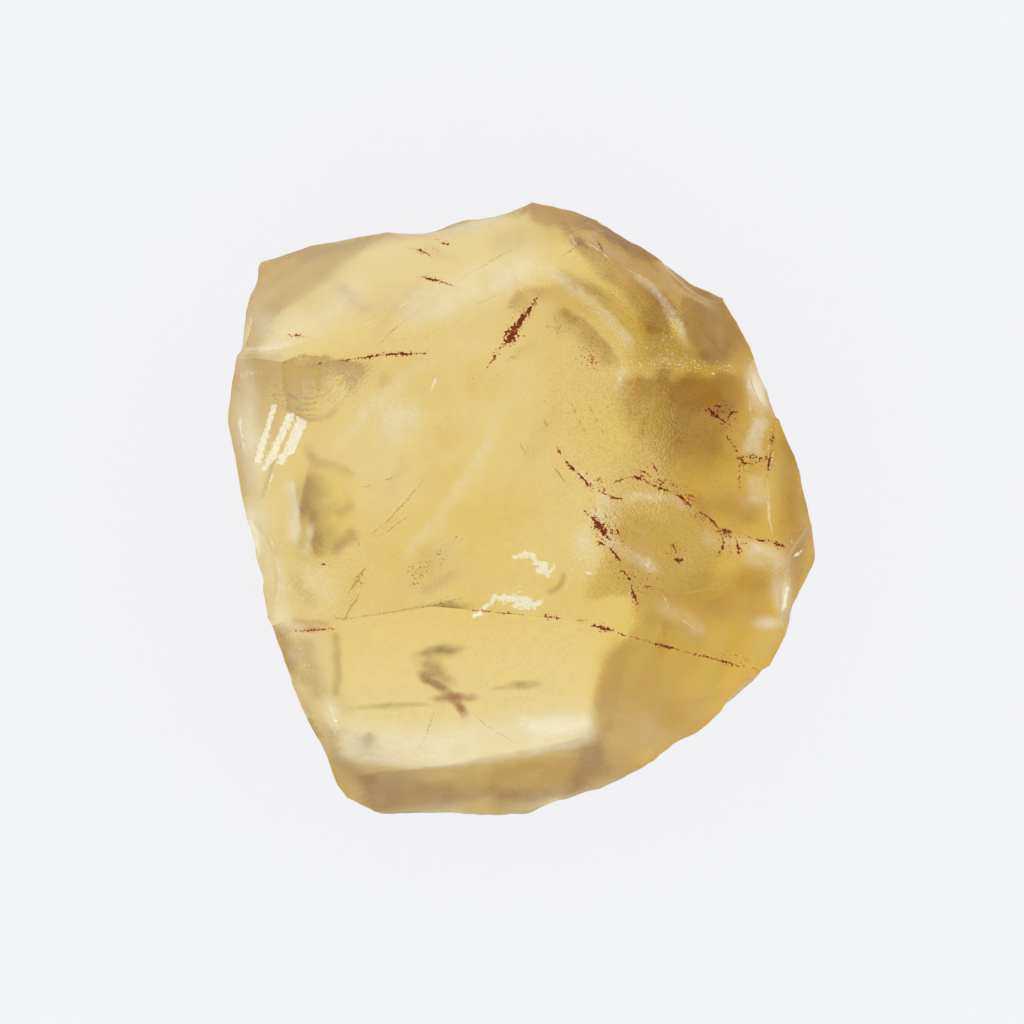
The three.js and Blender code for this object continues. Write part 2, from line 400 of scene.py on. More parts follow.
def ledges() -> dict[str, Ledge]:
    """The steps in the sides."""
    return {
        "left": Ledge(
            Fracture((-15.5, -1.0, 10.0), -171, -7, swell=0.08),
            Fracture((-17.0, 0.5, 11.5), -70, -62, swell=0.08),
        ),
        "right": Ledge(
            Fracture((17.6, -1.5, 10.0), 4, -10, swell=0.08),
            Fracture((16.5, -2.0, 13.0), 75, -58, swell=0.08),
        ),
        "back": Ledge(
            Fracture((-5.5, 16.7, 9.0), 96, -8, swell=0.08),
            Fracture((-3.0, 17.0, 11.5), 176, -50, swell=0.08),
        ),
    }


def chips() -> dict[str, Chip]:
    """The shell-shaped chips along the edges."""
    return {
        "crescent": Chip((-12.9, 7.2, 23.5), 175, 72, 4.4, 0.4),
        "broad_pit": Chip((2.9, -4.2, 23.5), -60, 80, 3.2, 0.25),
        "crest_nick": Chip((8.7, 8.6, 22.1), 60, 55, 2.8, 0.4),
        "corner_hollow": Chip((-12.7, -9.7, 19.4), -140, 42, 5.2, 0.5),
        "right_notch": Chip((14.8, 7.7, 17.2), 20, 15, 3.4, 0.45, 0.08, 1.0),
        "right_nick": Chip((17.0, -4.4, 16.2), -12, 25, 4.6, 0.4, 0.08, 1.0),
        "left_notch": Chip((-17.5, 10.6, 18.2), 165, 20, 3.0, 0.35),
        "left_nick": Chip((-16.2, -3.4, 18.6), -168, 25, 4.4, 0.45, 0.06, 0.9),
        "front_nick": Chip((-4.7, -19.2, 8.6), -92, 10, 3.2, 0.2),
        "front_right_nick": Chip((13.7, -11.4, 14.4), -40, 15, 3.8, 0.35),
        "corner_nick": Chip((-17.2, 11.5, 17.6), 168, 18, 2.4, 0.3),
        "back_nick": Chip((-5.0, 17.9, 13.6), 95, 20, 5.0, 0.3),
        "back_right_nick": Chip((10.6, 14.2, 15.6), 52, 20, 3.6, 0.25, 0.06, 1.0),
    }


def every_cut() -> dict[str, Cut]:
    """All the cuts by name; the sides and undersides have their group's name in front."""
    return {
        **upper_faces(),
        **{f"side_{name}": cut for name, cut in side_faces().items()},
        **{f"under_{name}": cut for name, cut in under_faces().items()},
        **{f"ledge_{name}": cut for name, cut in ledges().items()},
        **{f"chip_{name}": cut for name, cut in chips().items()},
    }


@dataclass
class StoneShape:
    """The space inside every face, ledge and chip at once, seen from a seed point inside it."""

    seed: Place = (0.0, -0.3, 14.5)
    reach: float = 34.0
    cuts: dict[str, Cut] = field(default_factory=every_cut)

    def beyond_each(self, points: Array) -> Array:
        """How far each point is beyond each cut, one row for each cut."""
        return np.stack([cut.beyond(points) for cut in self.cuts.values()])

    def number(self, name: str) -> int:
        """The row of a cut in the result of beyond_each."""
        return list(self.cuts).index(name)

    def along(self, directions: Array, start: Array | None = None, steps: int = 17) -> Array:
        """Distance from the seed, or from given starts, to the skin along each direction.

        The largest `beyond` changes sign once along a ray, so halving the interval finds it.

        Args:
            directions: an (n, 3) array of unit vectors.
            start: where each ray starts; the seed if not given.
            steps: how often the interval is halved.

        Returns:
            n distances.
        """
        origin = np.array(self.seed) if start is None else start
        low, high = np.zeros(len(directions)), np.full(len(directions), self.reach)
        for _ in range(steps):
            middle = (low + high) / 2
            inside = self.beyond_each(origin + middle[:, None] * directions).max(axis=0) < 0
            low, high = np.where(inside, middle, low), np.where(inside, high, middle)
        return (low + high) / 2


def sphere_grid(cells: int, lean: float) -> tuple[Array, Array]:
    """Directions spread over a ball as a cube's grid blown up, and the quads that join them.

    Each side of the cube carries tan-spaced lines, so cells are nearly even. The whole set is
    then shifted up by `lean` and brought back to length one, which makes the top finer.

    Args:
        cells: cells along a side of the cube.
        lean: how far the grid leans to the top, from 0.

    Returns:
        The directions, and for each quad the numbers of its corners, turning outwards.
    """
    line = np.tan(np.linspace(-np.pi / 4, np.pi / 4, cells + 1))
    a, b = np.meshgrid(line, line, indexing="ij")
    one = np.ones_like(a)
    sides = [(one, a, b), (-one, b, a), (b, one, a), (a, -one, b), (a, b, one), (b, a, -one)]
    points = unit(np.concatenate([np.stack(side, -1).reshape(-1, 3) for side in sides]))
    number = np.arange((cells + 1) ** 2).reshape(cells + 1, cells + 1)
    corners = (number[:-1, :-1], number[1:, :-1], number[1:, 1:], number[:-1, 1:])
    one_side = np.stack(corners, -1).reshape(-1, 4)
    quads = np.concatenate([one_side + k * (cells + 1) ** 2 for k in range(6)])
    _, first, twin = np.unique(np.round(points, 7), axis=0, return_index=True, return_inverse=True)
    points, quads = points[first], twin.reshape(-1)[quads]
    diagonals = points[quads[:, 2]] - points[quads[:, 0]], points[quads[:, 3]] - points[quads[:, 1]]
    inward = (np.cross(*diagonals) * points[quads].mean(axis=1)).sum(axis=1) < 0
    quads[inward] = quads[inward][:, ::-1]
    return unit(points + np.array([0.0, 0.0, lean])), quads


# ---- Cracks, stains, hazy places, painted shade and painted glints on the skin ----


@dataclass(frozen=True)
class Crack:
    """A fine crack, seen from above: an arc from `start` to `end`, in millimetres.

    `bow` is how far its middle bulges to the left, `width` half its width where it is fattest,
    `fat` how far along that is, and `beads` how much it breaks up into beads. It wanders off
    the arc by up to `wander` or, where that is less, by `loose` of its length.
    """

    start: Spot
    end: Spot
    bow: float = 0.0
    width: float = 0.1
    fat: float = 0.5
    beads: float = 0.7
    wander: float = 0.09
    loose: float = 0.03
    wander_pitch: float = 0.7
    bead_pitch: float = 0.55

    def line(self, steps: int = 40) -> tuple[Array, Array]:
        """Points along the crack, and half its width at each.

        The arc is a parabola over the chord, with a noisy wander. The width rises to its fattest
        place and falls again along square roots, less the beads, which are noise along the arc.

        Args:
            steps: how many points.

        Returns:
            The points, and half a width for each.
        """
        start, end = np.array(self.start), np.array(self.end)
        chord = end - start
        length = np.hypot(*chord)
        side = np.array([-chord[1], chord[0]]) / length
        s = np.linspace(0.0, 1.0, steps)
        run = np.stack([s * length, np.full(steps, start[0] * 3.1), np.full(steps, start[1] * 2.3)])
        most = min(self.wander, length * self.loose)
        wander = Noise.CRACK_WANDER.at(run.T, self.wander_pitch) * most
        aside = self.bow * 4 * s * (1 - s) + wander
        points = start + s[:, None] * chord + aside[:, None] * side
        rise = np.where(s < self.fat, s / self.fat, (1 - s) / (1 - self.fat + 1e-6))
        bead = Noise.CRACK_BEADS.cloud(run.T, self.bead_pitch, 2)
        half = self.width * np.sqrt(np.clip(rise, 0, 1)) * (1 - self.beads * (0.5 - 1.3 * bead))
        return points, np.clip(half, 0.0, self.width * 1.4)


@dataclass
class CrackField:
    """Cracks turned into two numbers at each corner of the skin.

    `aside` is the distance to the nearest crack, with a sign for its side, so that it passes
    smoothly through zero along the crack. `half` is the crack's half width there.
    """

    cracks: list[Crack]
    reach: float = 0.8

    def over(self, points: Array) -> tuple[Array, Array]:
        """Both numbers at some points that look up; far from every crack `half` is zero.

        Args:
            points: an (n, 3) array.

        Returns:
            `aside` and `half` of each.
        """
        aside = np.full(len(points), self.reach * 2)
        half = np.zeros(len(points))
        for crack in self.cracks:
            line, widths = crack.line()
            low, high = line.min(axis=0) - self.reach, line.max(axis=0) + self.reach
            inside = ((points[:, :2] > low) & (points[:, :2] < high)).all(axis=1)
            picked = np.flatnonzero(inside)
            if not len(picked):
                continue
            first, step = line[:-1], np.diff(line, axis=0)
            away = points[picked, None, :2] - first
            along = np.clip((away * step).sum(-1) / (step**2).sum(-1), 0.0, 1.0)
            gap = away - along[..., None] * step
            distance = np.hypot(gap[..., 0], gap[..., 1])
            nearest = distance.argmin(axis=1)
            row = np.arange(len(picked))
            cross = step[nearest, 0] * gap[row, nearest, 1] - step[nearest, 1] * gap[row, nearest, 0]
            value = np.where(cross < 0, -1.0, 1.0) * distance[row, nearest]
            part = along[row, nearest]
            width = widths[nearest] * (1 - part) + widths[nearest + 1] * part
            closer = np.abs(value) < np.abs(aside[picked])
            aside[picked[closer]] = value[closer]
            half[picked[closer]] = width[closer]
        return aside, half * (1 - ease(np.abs(aside), self.reach * 0.5, self.reach))


@dataclass(frozen=True)
class Patch:
    """A soft-edged oval place: its middle, its half sizes, its turn and how strong it is."""

    middle: Spot
    radii: tuple[float, float]
    turn: float = 0.0
    strength: float = 1.0

    def over(self, points: Array) -> Array:
        """Strength times exp(-r^3), with r the distance in units of the half sizes."""
        angle = np.radians(self.turn)
        away = points[:, :2] - np.array(self.middle)
        u = (away @ np.array([np.cos(angle), np.sin(angle)])) / self.radii[0]
        v = (away @ np.array([-np.sin(angle), np.cos(angle)])) / self.radii[1]
        return self.strength * np.exp(-np.hypot(u, v) ** 3)


@dataclass(frozen=True)
class Stroke:
    """A soft band along a cubic curve, seen from above, in millimetres.

    `path` holds the curve's four control points. `left` and `right` are how far the band reaches
    to either side of someone walking along it, and `left_soft` and `right_soft` how much of that
    is a fade, from 0 to 1. `wobble` is how far its borders wander.
    """

    path: Path
    left: float
    right: float
    strength: float
    left_soft: float = 1.0
    right_soft: float = 1.0
    wobble: float = 0.15
    taper: float = 0.2
    steps: int = 48

    def over(self, points: Array) -> Array:
        """Strength of the band: 1 - ease(aside) to each side, tapering to the curve's ends.

        Args:
            points: an (n, 3) array.

        Returns:
            A strength for each.
        """
        line, along, full = Rope(self.path, 1.0, 1.0, 1.0, self.taper).line(self.steps)
        margin = max(self.left, self.right) + self.wobble
        low, high = line.min(axis=0) - margin, line.max(axis=0) + margin
        picked = np.flatnonzero(((points[:, :2] > low) & (points[:, :2] < high)).all(axis=1))
        away = points[picked, None, :2] - line
        nearest = np.hypot(away[..., 0], away[..., 1]).argmin(axis=1)
        gap = away[np.arange(len(picked)), nearest]
        left = along[nearest, 0] * gap[:, 1] - along[nearest, 1] * gap[:, 0]
        left = left + self.wobble * Noise.STROKE_BORDER.cloud(points[picked] + 15.0, 1.2, 2)
        reach = np.where(left > 0, self.left, self.right)
        soft = np.where(left > 0, self.left_soft, self.right_soft)
        share = np.clip((1 - np.abs(left) / reach) / np.maximum(soft, 0.05), 0.0, 1.0)
        result = np.zeros(len(points))
        result[picked] = self.strength * full[nearest] * share * share * (3 - 2 * share)
        return result


def laid_over(places: list[Patch] | list[Stroke], points: Array) -> Array:
    """Soft places laid over each other: one less the product of what each leaves clear."""
    clear = np.ones(len(points))
    for place in places:
        clear *= 1.0 - np.clip(place.over(points), 0.0, 1.0)
    return 1.0 - clear


def arc(x: float, y: float, end_x: float, end_y: float, bow: float = 0.0) -> Path:
    """A plain arc between two places, as a cubic curve that bulges to the left by `bow`.

    Args:
        x, y: where it starts.
        end_x, end_y: where it ends.
        bow: how far its middle bulges to the left.

    Returns:
        The curve's four control points.
    """
    dx, dy = end_x - x, end_y - y
    length = float(np.hypot(dx, dy))
    aside_x, aside_y = -dy / length * bow * 4 / 3, dx / length * bow * 4 / 3
    first = (x + dx / 3 + aside_x, y + dy / 3 + aside_y)
    second = (x + dx * 2 / 3 + aside_x, y + dy * 2 / 3 + aside_y)
    return ((x, y), first, second, (end_x, end_y))


def shady_strokes() -> list[Stroke]:
    """Painted shade: bands where the stone turns light away, laid into its tint as dark gold."""
    peak = [
        # the band that winds down from the peak, sharp on its outer side
        Stroke(((2.3, 18.2), (2.9, 16.9), (3.4, 15.9), (5.2, 14.8)), 0.45, 0.45, 0.7, 0.4, 0.8),
        Stroke(((4.0, 15.3), (6.4, 14.9), (8.4, 12.6), (8.5, 9.7)), 0.95, 1.25, 0.85, 0.2, 0.7, 0.2),
        Stroke(((1.6, 14.9), (3.2, 14.3), (4.6, 13.4), (5.8, 12.5)), 0.45, 0.7, 0.45),
        # the smooth slope outside it
        Stroke(((2.6, 18.4), (8.0, 15.9), (11.4, 13.2), (12.9, 8.7)), 2.1, 2.1, 0.8, 0.3, 0.4, taper=0.12),
        Stroke(arc(10.6, 11.6, 12.6, 8.9, 0.2), 0.9, 0.9, 0.3),
        Stroke(arc(3.4, 17.3, 10.6, 13.4, 0.2), 1.2, 1.3, 0.55, wobble=0.3),
        Stroke(arc(1.6, 14.1, 5.1, 12.9, 0.1), 0.5, 0.5, 0.3, wobble=0.3),
        # below the crest
        Stroke(((1.6, 12.6), (3.4, 11.9), (4.9, 10.6), (6.0, 8.4)), 0.4, 1.7, 0.6, 0.6, 1.0),
        Stroke(arc(2.3, 12.5, 3.3, 11.4), 0.35, 0.5, 0.55, 0.5, 1.0),
        Stroke(arc(-2.5, 16.2, 3.0, 17.6), 1.6, 1.6, 0.36),
        Stroke(arc(6.8, 9.7, 13.8, 9.3, 0.2), 0.9, 0.9, 0.35, wobble=0.3),
        Stroke(arc(-14.5, 12.4, -4.5, 12.6, 0.3), 1.8, 2.0, 0.26, wobble=0.6),
    ]
    notches = [
        # in the hollow's upper rim
        Stroke(arc(x, 8.1, x + 1.0, y, 0.4), 0.5, 0.6, 0.55, wobble=0.4)
        for x, y in ((8.3, 8.3), (10.05, 8.1), (11.8, 7.9))
    ]
    right = [
        # the hollow behind the lumps and the faces round them
        Stroke(arc(4.8, 7.2, 14.6, 6.9, 0.3), 1.3, 3.2, 0.85, 0.5, 0.9, wobble=0.5, taper=0.25),
        Stroke(arc(5.6, 4.8, 14.4, 2.9, 0.6), 2.6, 2.6, 0.7, 1.0, 1.0, wobble=0.5, taper=0.3),
        Stroke(arc(10.0, 0.4, 15.2, -0.6, 0.3), 1.6, 1.2, 0.5, wobble=0.3),
        Stroke(arc(16.2, 6.0, 16.6, -5.0, 0.3), 1.6, 1.6, 0.62),
        Stroke(arc(8.6, -4.2, 17.6, -5.4, 0.1), 0.9, 2.8, 0.36, 0.8, 0.6, wobble=0.4, taper=0.3),
        Stroke(arc(12.8, -4.1, 16.6, -4.4, 0.1), 1.3, 1.3, 0.4, wobble=0.3),
        Stroke(arc(7.0, -6.4, 11.6, -8.2), 0.7, 0.5, 0.3),
    ]
    bevel = ((-10.8, -16.8), (-5.5, -16.2), (0.0, -15.3), (5.4, -14.0))
    front = [
        # the bevel under the window
        Stroke(bevel, 0.2, 3.2, 0.74, 1.0, 0.3, taper=0.06),
        Stroke(arc(-3.0, -17.0, 4.6, -15.8, 0.1), 0.7, 2.8, 0.85, 1.0, 0.4),
        # where the clear window gives way to the golden face
        Stroke(arc(6.0, -7.6, 4.4, -14.6), 1.3, 1.1, 0.4, 0.7, 1.0, wobble=0.4, taper=0.08),
        # the corner on the left
        Stroke(arc(-11.45, -7.3, -11.5, -11.8), 0.35, 0.5, 0.6, 0.8, 1.0, taper=0.1),
        Stroke(arc(-13.5, -7.4, -12.6, -12.4), 1.2, 1.4, 0.62),
        Stroke(arc(-14.6, -6.9, -11.6, -7.0), 0.3, 0.45, 0.55),
        Stroke(arc(-12.0, -14.6, -8.8, -17.4, -0.4), 0.7, 1.2, 0.5),
    ]
    left = [
        # the dark cluster: a wedge with a sharp left side and broken patches below it
        Stroke(arc(-13.0, 3.0, -13.8, -1.2), 1.5, 0.2, 0.85, 0.9, 0.8, taper=0.3),
        Stroke(arc(-12.8, 0.2, -12.9, -3.2), 1.5, 0.3, 0.8, 1.0, 0.9, wobble=0.5),
        Stroke(arc(-11.9, -2.7, -10.2, -1.0), 0.7, 0.6, 0.7, wobble=0.4),
        Stroke(arc(-11.6, -0.4, -10.4, 0.6), 0.6, 0.6, 0.5, wobble=0.3),
        Stroke(arc(-13.6, 3.7, -10.2, 1.8, 0.1), 0.4, 0.7, 0.5, wobble=0.35),
        Stroke(arc(-13.4, 4.2, -12.4, 2.4), 0.7, 0.7, 0.35, wobble=0.3),
        Stroke(arc(-15.2, 3.3, -16.2, 0.4), 0.1, 0.35, 0.5, 0.5, 1.0),
        # the rim of the shell-shaped chip and the strip along the edge
        Stroke(((-14.9, 7.0), (-13.9, 5.2), (-11.9, 5.2), (-11.3, 6.8)), 0.2, 0.3, 0.5, 1.0, 0.4),
        Stroke(arc(-17.4, 9.1, -14.4, 9.4), 0.5, 0.4, 0.4, wobble=0.3),
        Stroke(arc(-14.2, -3.8, -12.8, -6.0), 0.8, 0.8, 0.3, wobble=0.3),
    ]
    middle = [
        Stroke(arc(-6.6, -5.0, -4.0, -3.6, -0.2), 0.5, 0.7, 0.35),
        Stroke(arc(-8.6, -4.6, -3.4, -2.4, -0.4), 1.6, 1.6, 0.12, wobble=0.5),
        Stroke(arc(1.3, -5.2, 2.5, -3.6, -0.4), 0.35, 0.35, 0.6),
        Stroke(arc(-0.4, 1.6, 2.6, 6.6, 0.2), 0.8, 0.9, 0.14, wobble=0.4),
        Stroke(arc(-8.4, 0.6, -7.0, 3.4, 0.2), 0.5, 0.9, 0.16, wobble=0.3),
    ]
    rims = [
        Stroke(arc(-15.8, 15.6, -2.0, 18.2, 0.2), 1.0, 0.9, 0.5),
        Stroke(arc(-1.6, 18.8, 9.0, 15.6, 0.9), 1.0, 0.9, 0.45),
        Stroke(arc(17.6, 2.0, 16.0, -8.0, 0.4), 1.0, 0.7, 0.35),
        Stroke(arc(-15.2, -6.4, -12.0, -15.6, -0.4), 0.4, 0.6, 0.35),
    ]
    return [*peak, *notches, *right, *front, *left, *middle, *rims]


def milky_and_painted_light_strokes() -> list[Stroke]:
    """Bands where fine unseen cracks scatter light and look cream, painted lighter as painted light."""
    window = ((-11.6, -14.1), (-7.0, -15.5), (-1.0, -14.5), (4.9, -13.1))
    return [
        # both sides of the winding band
        Stroke(((0.8, 15.6), (3.4, 13.4), (5.2, 12.5), (7.2, 9.4)), 0.35, 0.7, 0.3, 0.8, 0.8),
        Stroke(((6.2, 14.9), (8.6, 13.8), (9.4, 12.2), (10.3, 9.6)), 0.35, 0.35, 0.28, 0.8, 0.8),
        # the slope left of the peak
        Stroke(arc(-8.5, 11.6, 1.8, 16.0, -0.4), 2.2, 1.8, 0.4),
        Stroke(arc(-17.2, 9.6, -9.0, 14.6, -0.6), 1.5, 1.6, 0.25),
        Stroke(arc(-17.6, 9.7, -14.0, 10.2, 0.1), 0.25, 0.25, 0.4),
        # beside the crest
        Stroke(arc(6.4, 8.9, 5.7, 7.2, -0.1), 0.4, 0.4, 0.25),
        # round the frosted lumps
        Stroke(arc(4.6, -1.2, 8.8, -3.5, -0.4), 0.5, 0.8, 0.34, wobble=0.35),
        Stroke(arc(5.8, 0.9, 10.8, -0.2, 0.5), 0.3, 0.55, 0.3, wobble=0.3),
        Stroke(arc(10.6, -1.5, 16.6, -3.0, 0.1), 0.5, 1.0, 0.24, wobble=0.4),
        Stroke(arc(3.2, 2.6, 5.6, 0.6, -0.2), 0.4, 0.6, 0.24, wobble=0.3),
        # the plate between the cracks on the right
        Stroke(arc(14.9, 5.9, 14.2, 3.2), 0.8, 0.8, 0.42, 0.5, 0.5, wobble=0.35),
        Stroke(arc(14.6, 2.4, 14.4, 0.2), 0.6, 0.6, 0.22, 0.6, 0.6, wobble=0.35),
        # the lower window
        Stroke(window, 2.4, 1.6, 0.42, 1.0, 0.35, taper=0.06),
        Stroke(arc(-0.6, -12.9, 4.4, -12.8, -0.3), 0.5, 1.2, 0.4, 0.8, 0.7, taper=0.15),
        # streaks over the broad face
        Stroke(arc(-12.0, 3.0, -5.5, 9.6, 0.4), 0.7, 0.9, 0.22),
        Stroke(arc(-8.0, -3.6, -1.5, 5.6, -0.3), 0.35, 0.9, 0.2),
        Stroke(arc(-3.4, 1.2, -1.0, 7.4, -0.2), 0.9, 0.7, 0.12),
        # beside the dark cluster
        Stroke(arc(-14.3, 2.2, -14.0, -2.4, 0.2), 0.3, 0.9, 0.5, 0.6, 1.0),
        Stroke(arc(-12.8, -0.6, -13.5, -3.0), 0.3, 0.5, 0.35),
    ]


def rusty_cracks() -> list[Crack]:
    """Dark red iron rust that has crept into fine cracks of the upper faces."""
    broad = [
        Crack((-2.2, 8.7), (-1.2, 10.2), 0.0, 0.08),
        Crack((-1.3, 10.0), (0.5, 12.5), 0.05, 0.38, fat=0.4, beads=0.4),
        Crack((-0.6, 11.4), (0.9, 13.1), -0.15, 0.2),
        # the short arc left of the lumps
        Crack((2.1, 3.8), (3.5, 2.1), -0.15, 0.13),
        Crack((3.2, 2.4), (5.6, 0.8), -0.2, 0.09, beads=1.0),
    ]
    long_arc = [
        # round the frosted lumps
        Crack((5.5, 1.6), (7.6, 1.75), 0.35, 0.15),
        Crack((7.5, 1.75), (9.3, 1.05), 0.0, 0.15),
        Crack((9.2, 1.1), (10.4, 0.1), 0.1, 0.12),
        Crack((10.8, -0.1), (12.1, -1.3), 0.2, 0.1, beads=0.5),
        Crack((12.0, -1.3), (13.0, -1.4), 0.05, 0.16),
        Crack((13.8, -1.6), (15.5, -1.95), -0.12, 0.09),
        Crack((15.5, -2.0), (16.2, -2.3), 0.0, 0.16),
        Crack((5.2, 0.9), (6.2, 0.75), -0.1, 0.1),
        # loose dashes above it
        Crack((7.2, 2.45), (7.7, 2.2), 0.0, 0.11, beads=0.3),
        Crack((7.9, 2.9), (8.3, 2.1), 0.1, 0.12),
        Crack((8.3, 1.9), (8.8, 1.6), 0.0, 0.09),
        Crack((9.2, 1.6), (9.5, 1.2), 0.1, 0.1),
        Crack((10.2, 0.95), (10.6, 0.5), 0.1, 0.09, beads=0.3),
    ]
    beaded = [
        # the beaded lines that run down to the front edge
        Crack((3.7, 0.0), (4.4, -0.7), 0.0, 0.12),
        Crack((4.1, -0.4), (5.35, -1.9), 0.05, 0.24, fat=0.4, beads=0.6),
        Crack((4.6, -1.95), (5.1, -2.2), 0.0, 0.15, fat=0.2, beads=0.3),
        Crack((5.1, -2.2), (6.0, -3.2), 0.1, 0.15),
        Crack((6.1, -3.7), (6.7, -4.7), 0.05, 0.12),
        Crack((6.6, -4.7), (7.0, -6.0), 0.05, 0.18, beads=0.5),
        Crack((5.7, -3.6), (6.2, -3.8), 0.0, 0.08),
        Crack((5.75, -1.2), (5.95, -1.6), 0.0, 0.08, beads=0.3),
        Crack((7.2, -4.7), (8.4, -4.9), 0.1, 0.1, beads=1.0),
        # drops and branches under the arc
        Crack((9.15, -2.0), (9.5, -2.8), 0.0, 0.08),
        Crack((9.3, -3.1), (9.85, -3.1), 0.08, 0.22, beads=0.2),
        Crack((12.2, -1.4), (12.3, -2.5), 0.1, 0.14),
        Crack((12.3, -2.2), (12.0, -2.9), 0.0, 0.1),
        Crack((13.2, -2.0), (13.3, -2.7), 0.05, 0.12, fat=0.8),
    ]
    right = [
        # the small loop in the hollow
        Crack((11.45, 6.35), (12.2, 5.65), -0.05, 0.2, fat=0.5, beads=0.2),
        Crack((12.1, 5.7), (12.8, 5.3), 0.0, 0.07, beads=0.4),
        Crack((11.85, 6.45), (12.7, 6.55), -0.08, 0.09, beads=0.2),
        Crack((12.75, 5.8), (13.15, 6.1), 0.05, 0.12, beads=0.3),
        Crack((11.2, 6.2), (11.4, 6.1), 0.0, 0.08, beads=0.2),
        # the web on the right
        Crack((13.3, 3.4), (13.7, 2.9), 0.0, 0.22, beads=0.2),
        Crack((13.6, 2.9), (14.9, 3.15), -0.12, 0.07, beads=0.4),
        Crack((14.1, 3.5), (15.0, 3.1), 0.0, 0.1, fat=0.7),
        Crack((13.4, 2.9), (13.4, 1.3), 0.0, 0.09, beads=1.0),
        Crack((15.5, 4.7), (15.45, 4.0), 0.0, 0.1, beads=0.3),
        Crack((15.4, 3.6), (15.15, 2.3), 0.05, 0.1),
        Crack((12.3, 5.0), (13.4, 3.4), 0.0, 0.05, beads=1.0),
    ]
    front = [
        # the long dashed line over the front faces
        Crack((4.2, -7.05), (5.8, -7.55), 0.03, 0.15, fat=0.3, beads=0.2),
        Crack((5.6, -7.5), (8.0, -8.2), 0.03, 0.06, beads=0.9),
        Crack((8.0, -8.25), (9.6, -8.65), 0.03, 0.12, fat=0.35, beads=0.3),
        Crack((10.4, -8.9), (11.0, -9.0), 0.0, 0.1, beads=0.2),
        Crack((12.0, -9.3), (13.4, -9.75), 0.02, 0.13, fat=0.4, beads=0.3),
        Crack((9.4, -8.6), (14.6, -9.95), 0.03, 0.04, beads=0.7),
        Crack((12.9, -8.9), (14.0, -9.3), 0.0, 0.04),
        Crack((-14.3, -7.5), (-11.6, -7.25), 0.0, 0.08, beads=0.5),
        Crack((-12.35, -3.3), (-12.15, -3.35), 0.0, 0.1, beads=0.0),
    ]
    slopes = [
        Crack((-6.2, 14.3), (-4.4, 13.8), 0.1, 0.12),
        Crack((-14.4, 10.8), (-13.6, 10.7), 0.0, 0.09),
        Crack((-6.8, 16.2), (-5.7, 15.7), 0.1, 0.07),
        Crack((-5.2, 16.7), (-4.5, 16.4), 0.0, 0.08),
        Crack((4.6, 16.7), (5.0, 15.9), 0.0, 0.1),
        Crack((10.3, 13.7), (11.1, 13.2), 0.0, 0.12),
    ]
    return [*broad, *long_arc, *beaded, *right, *front, *slopes]


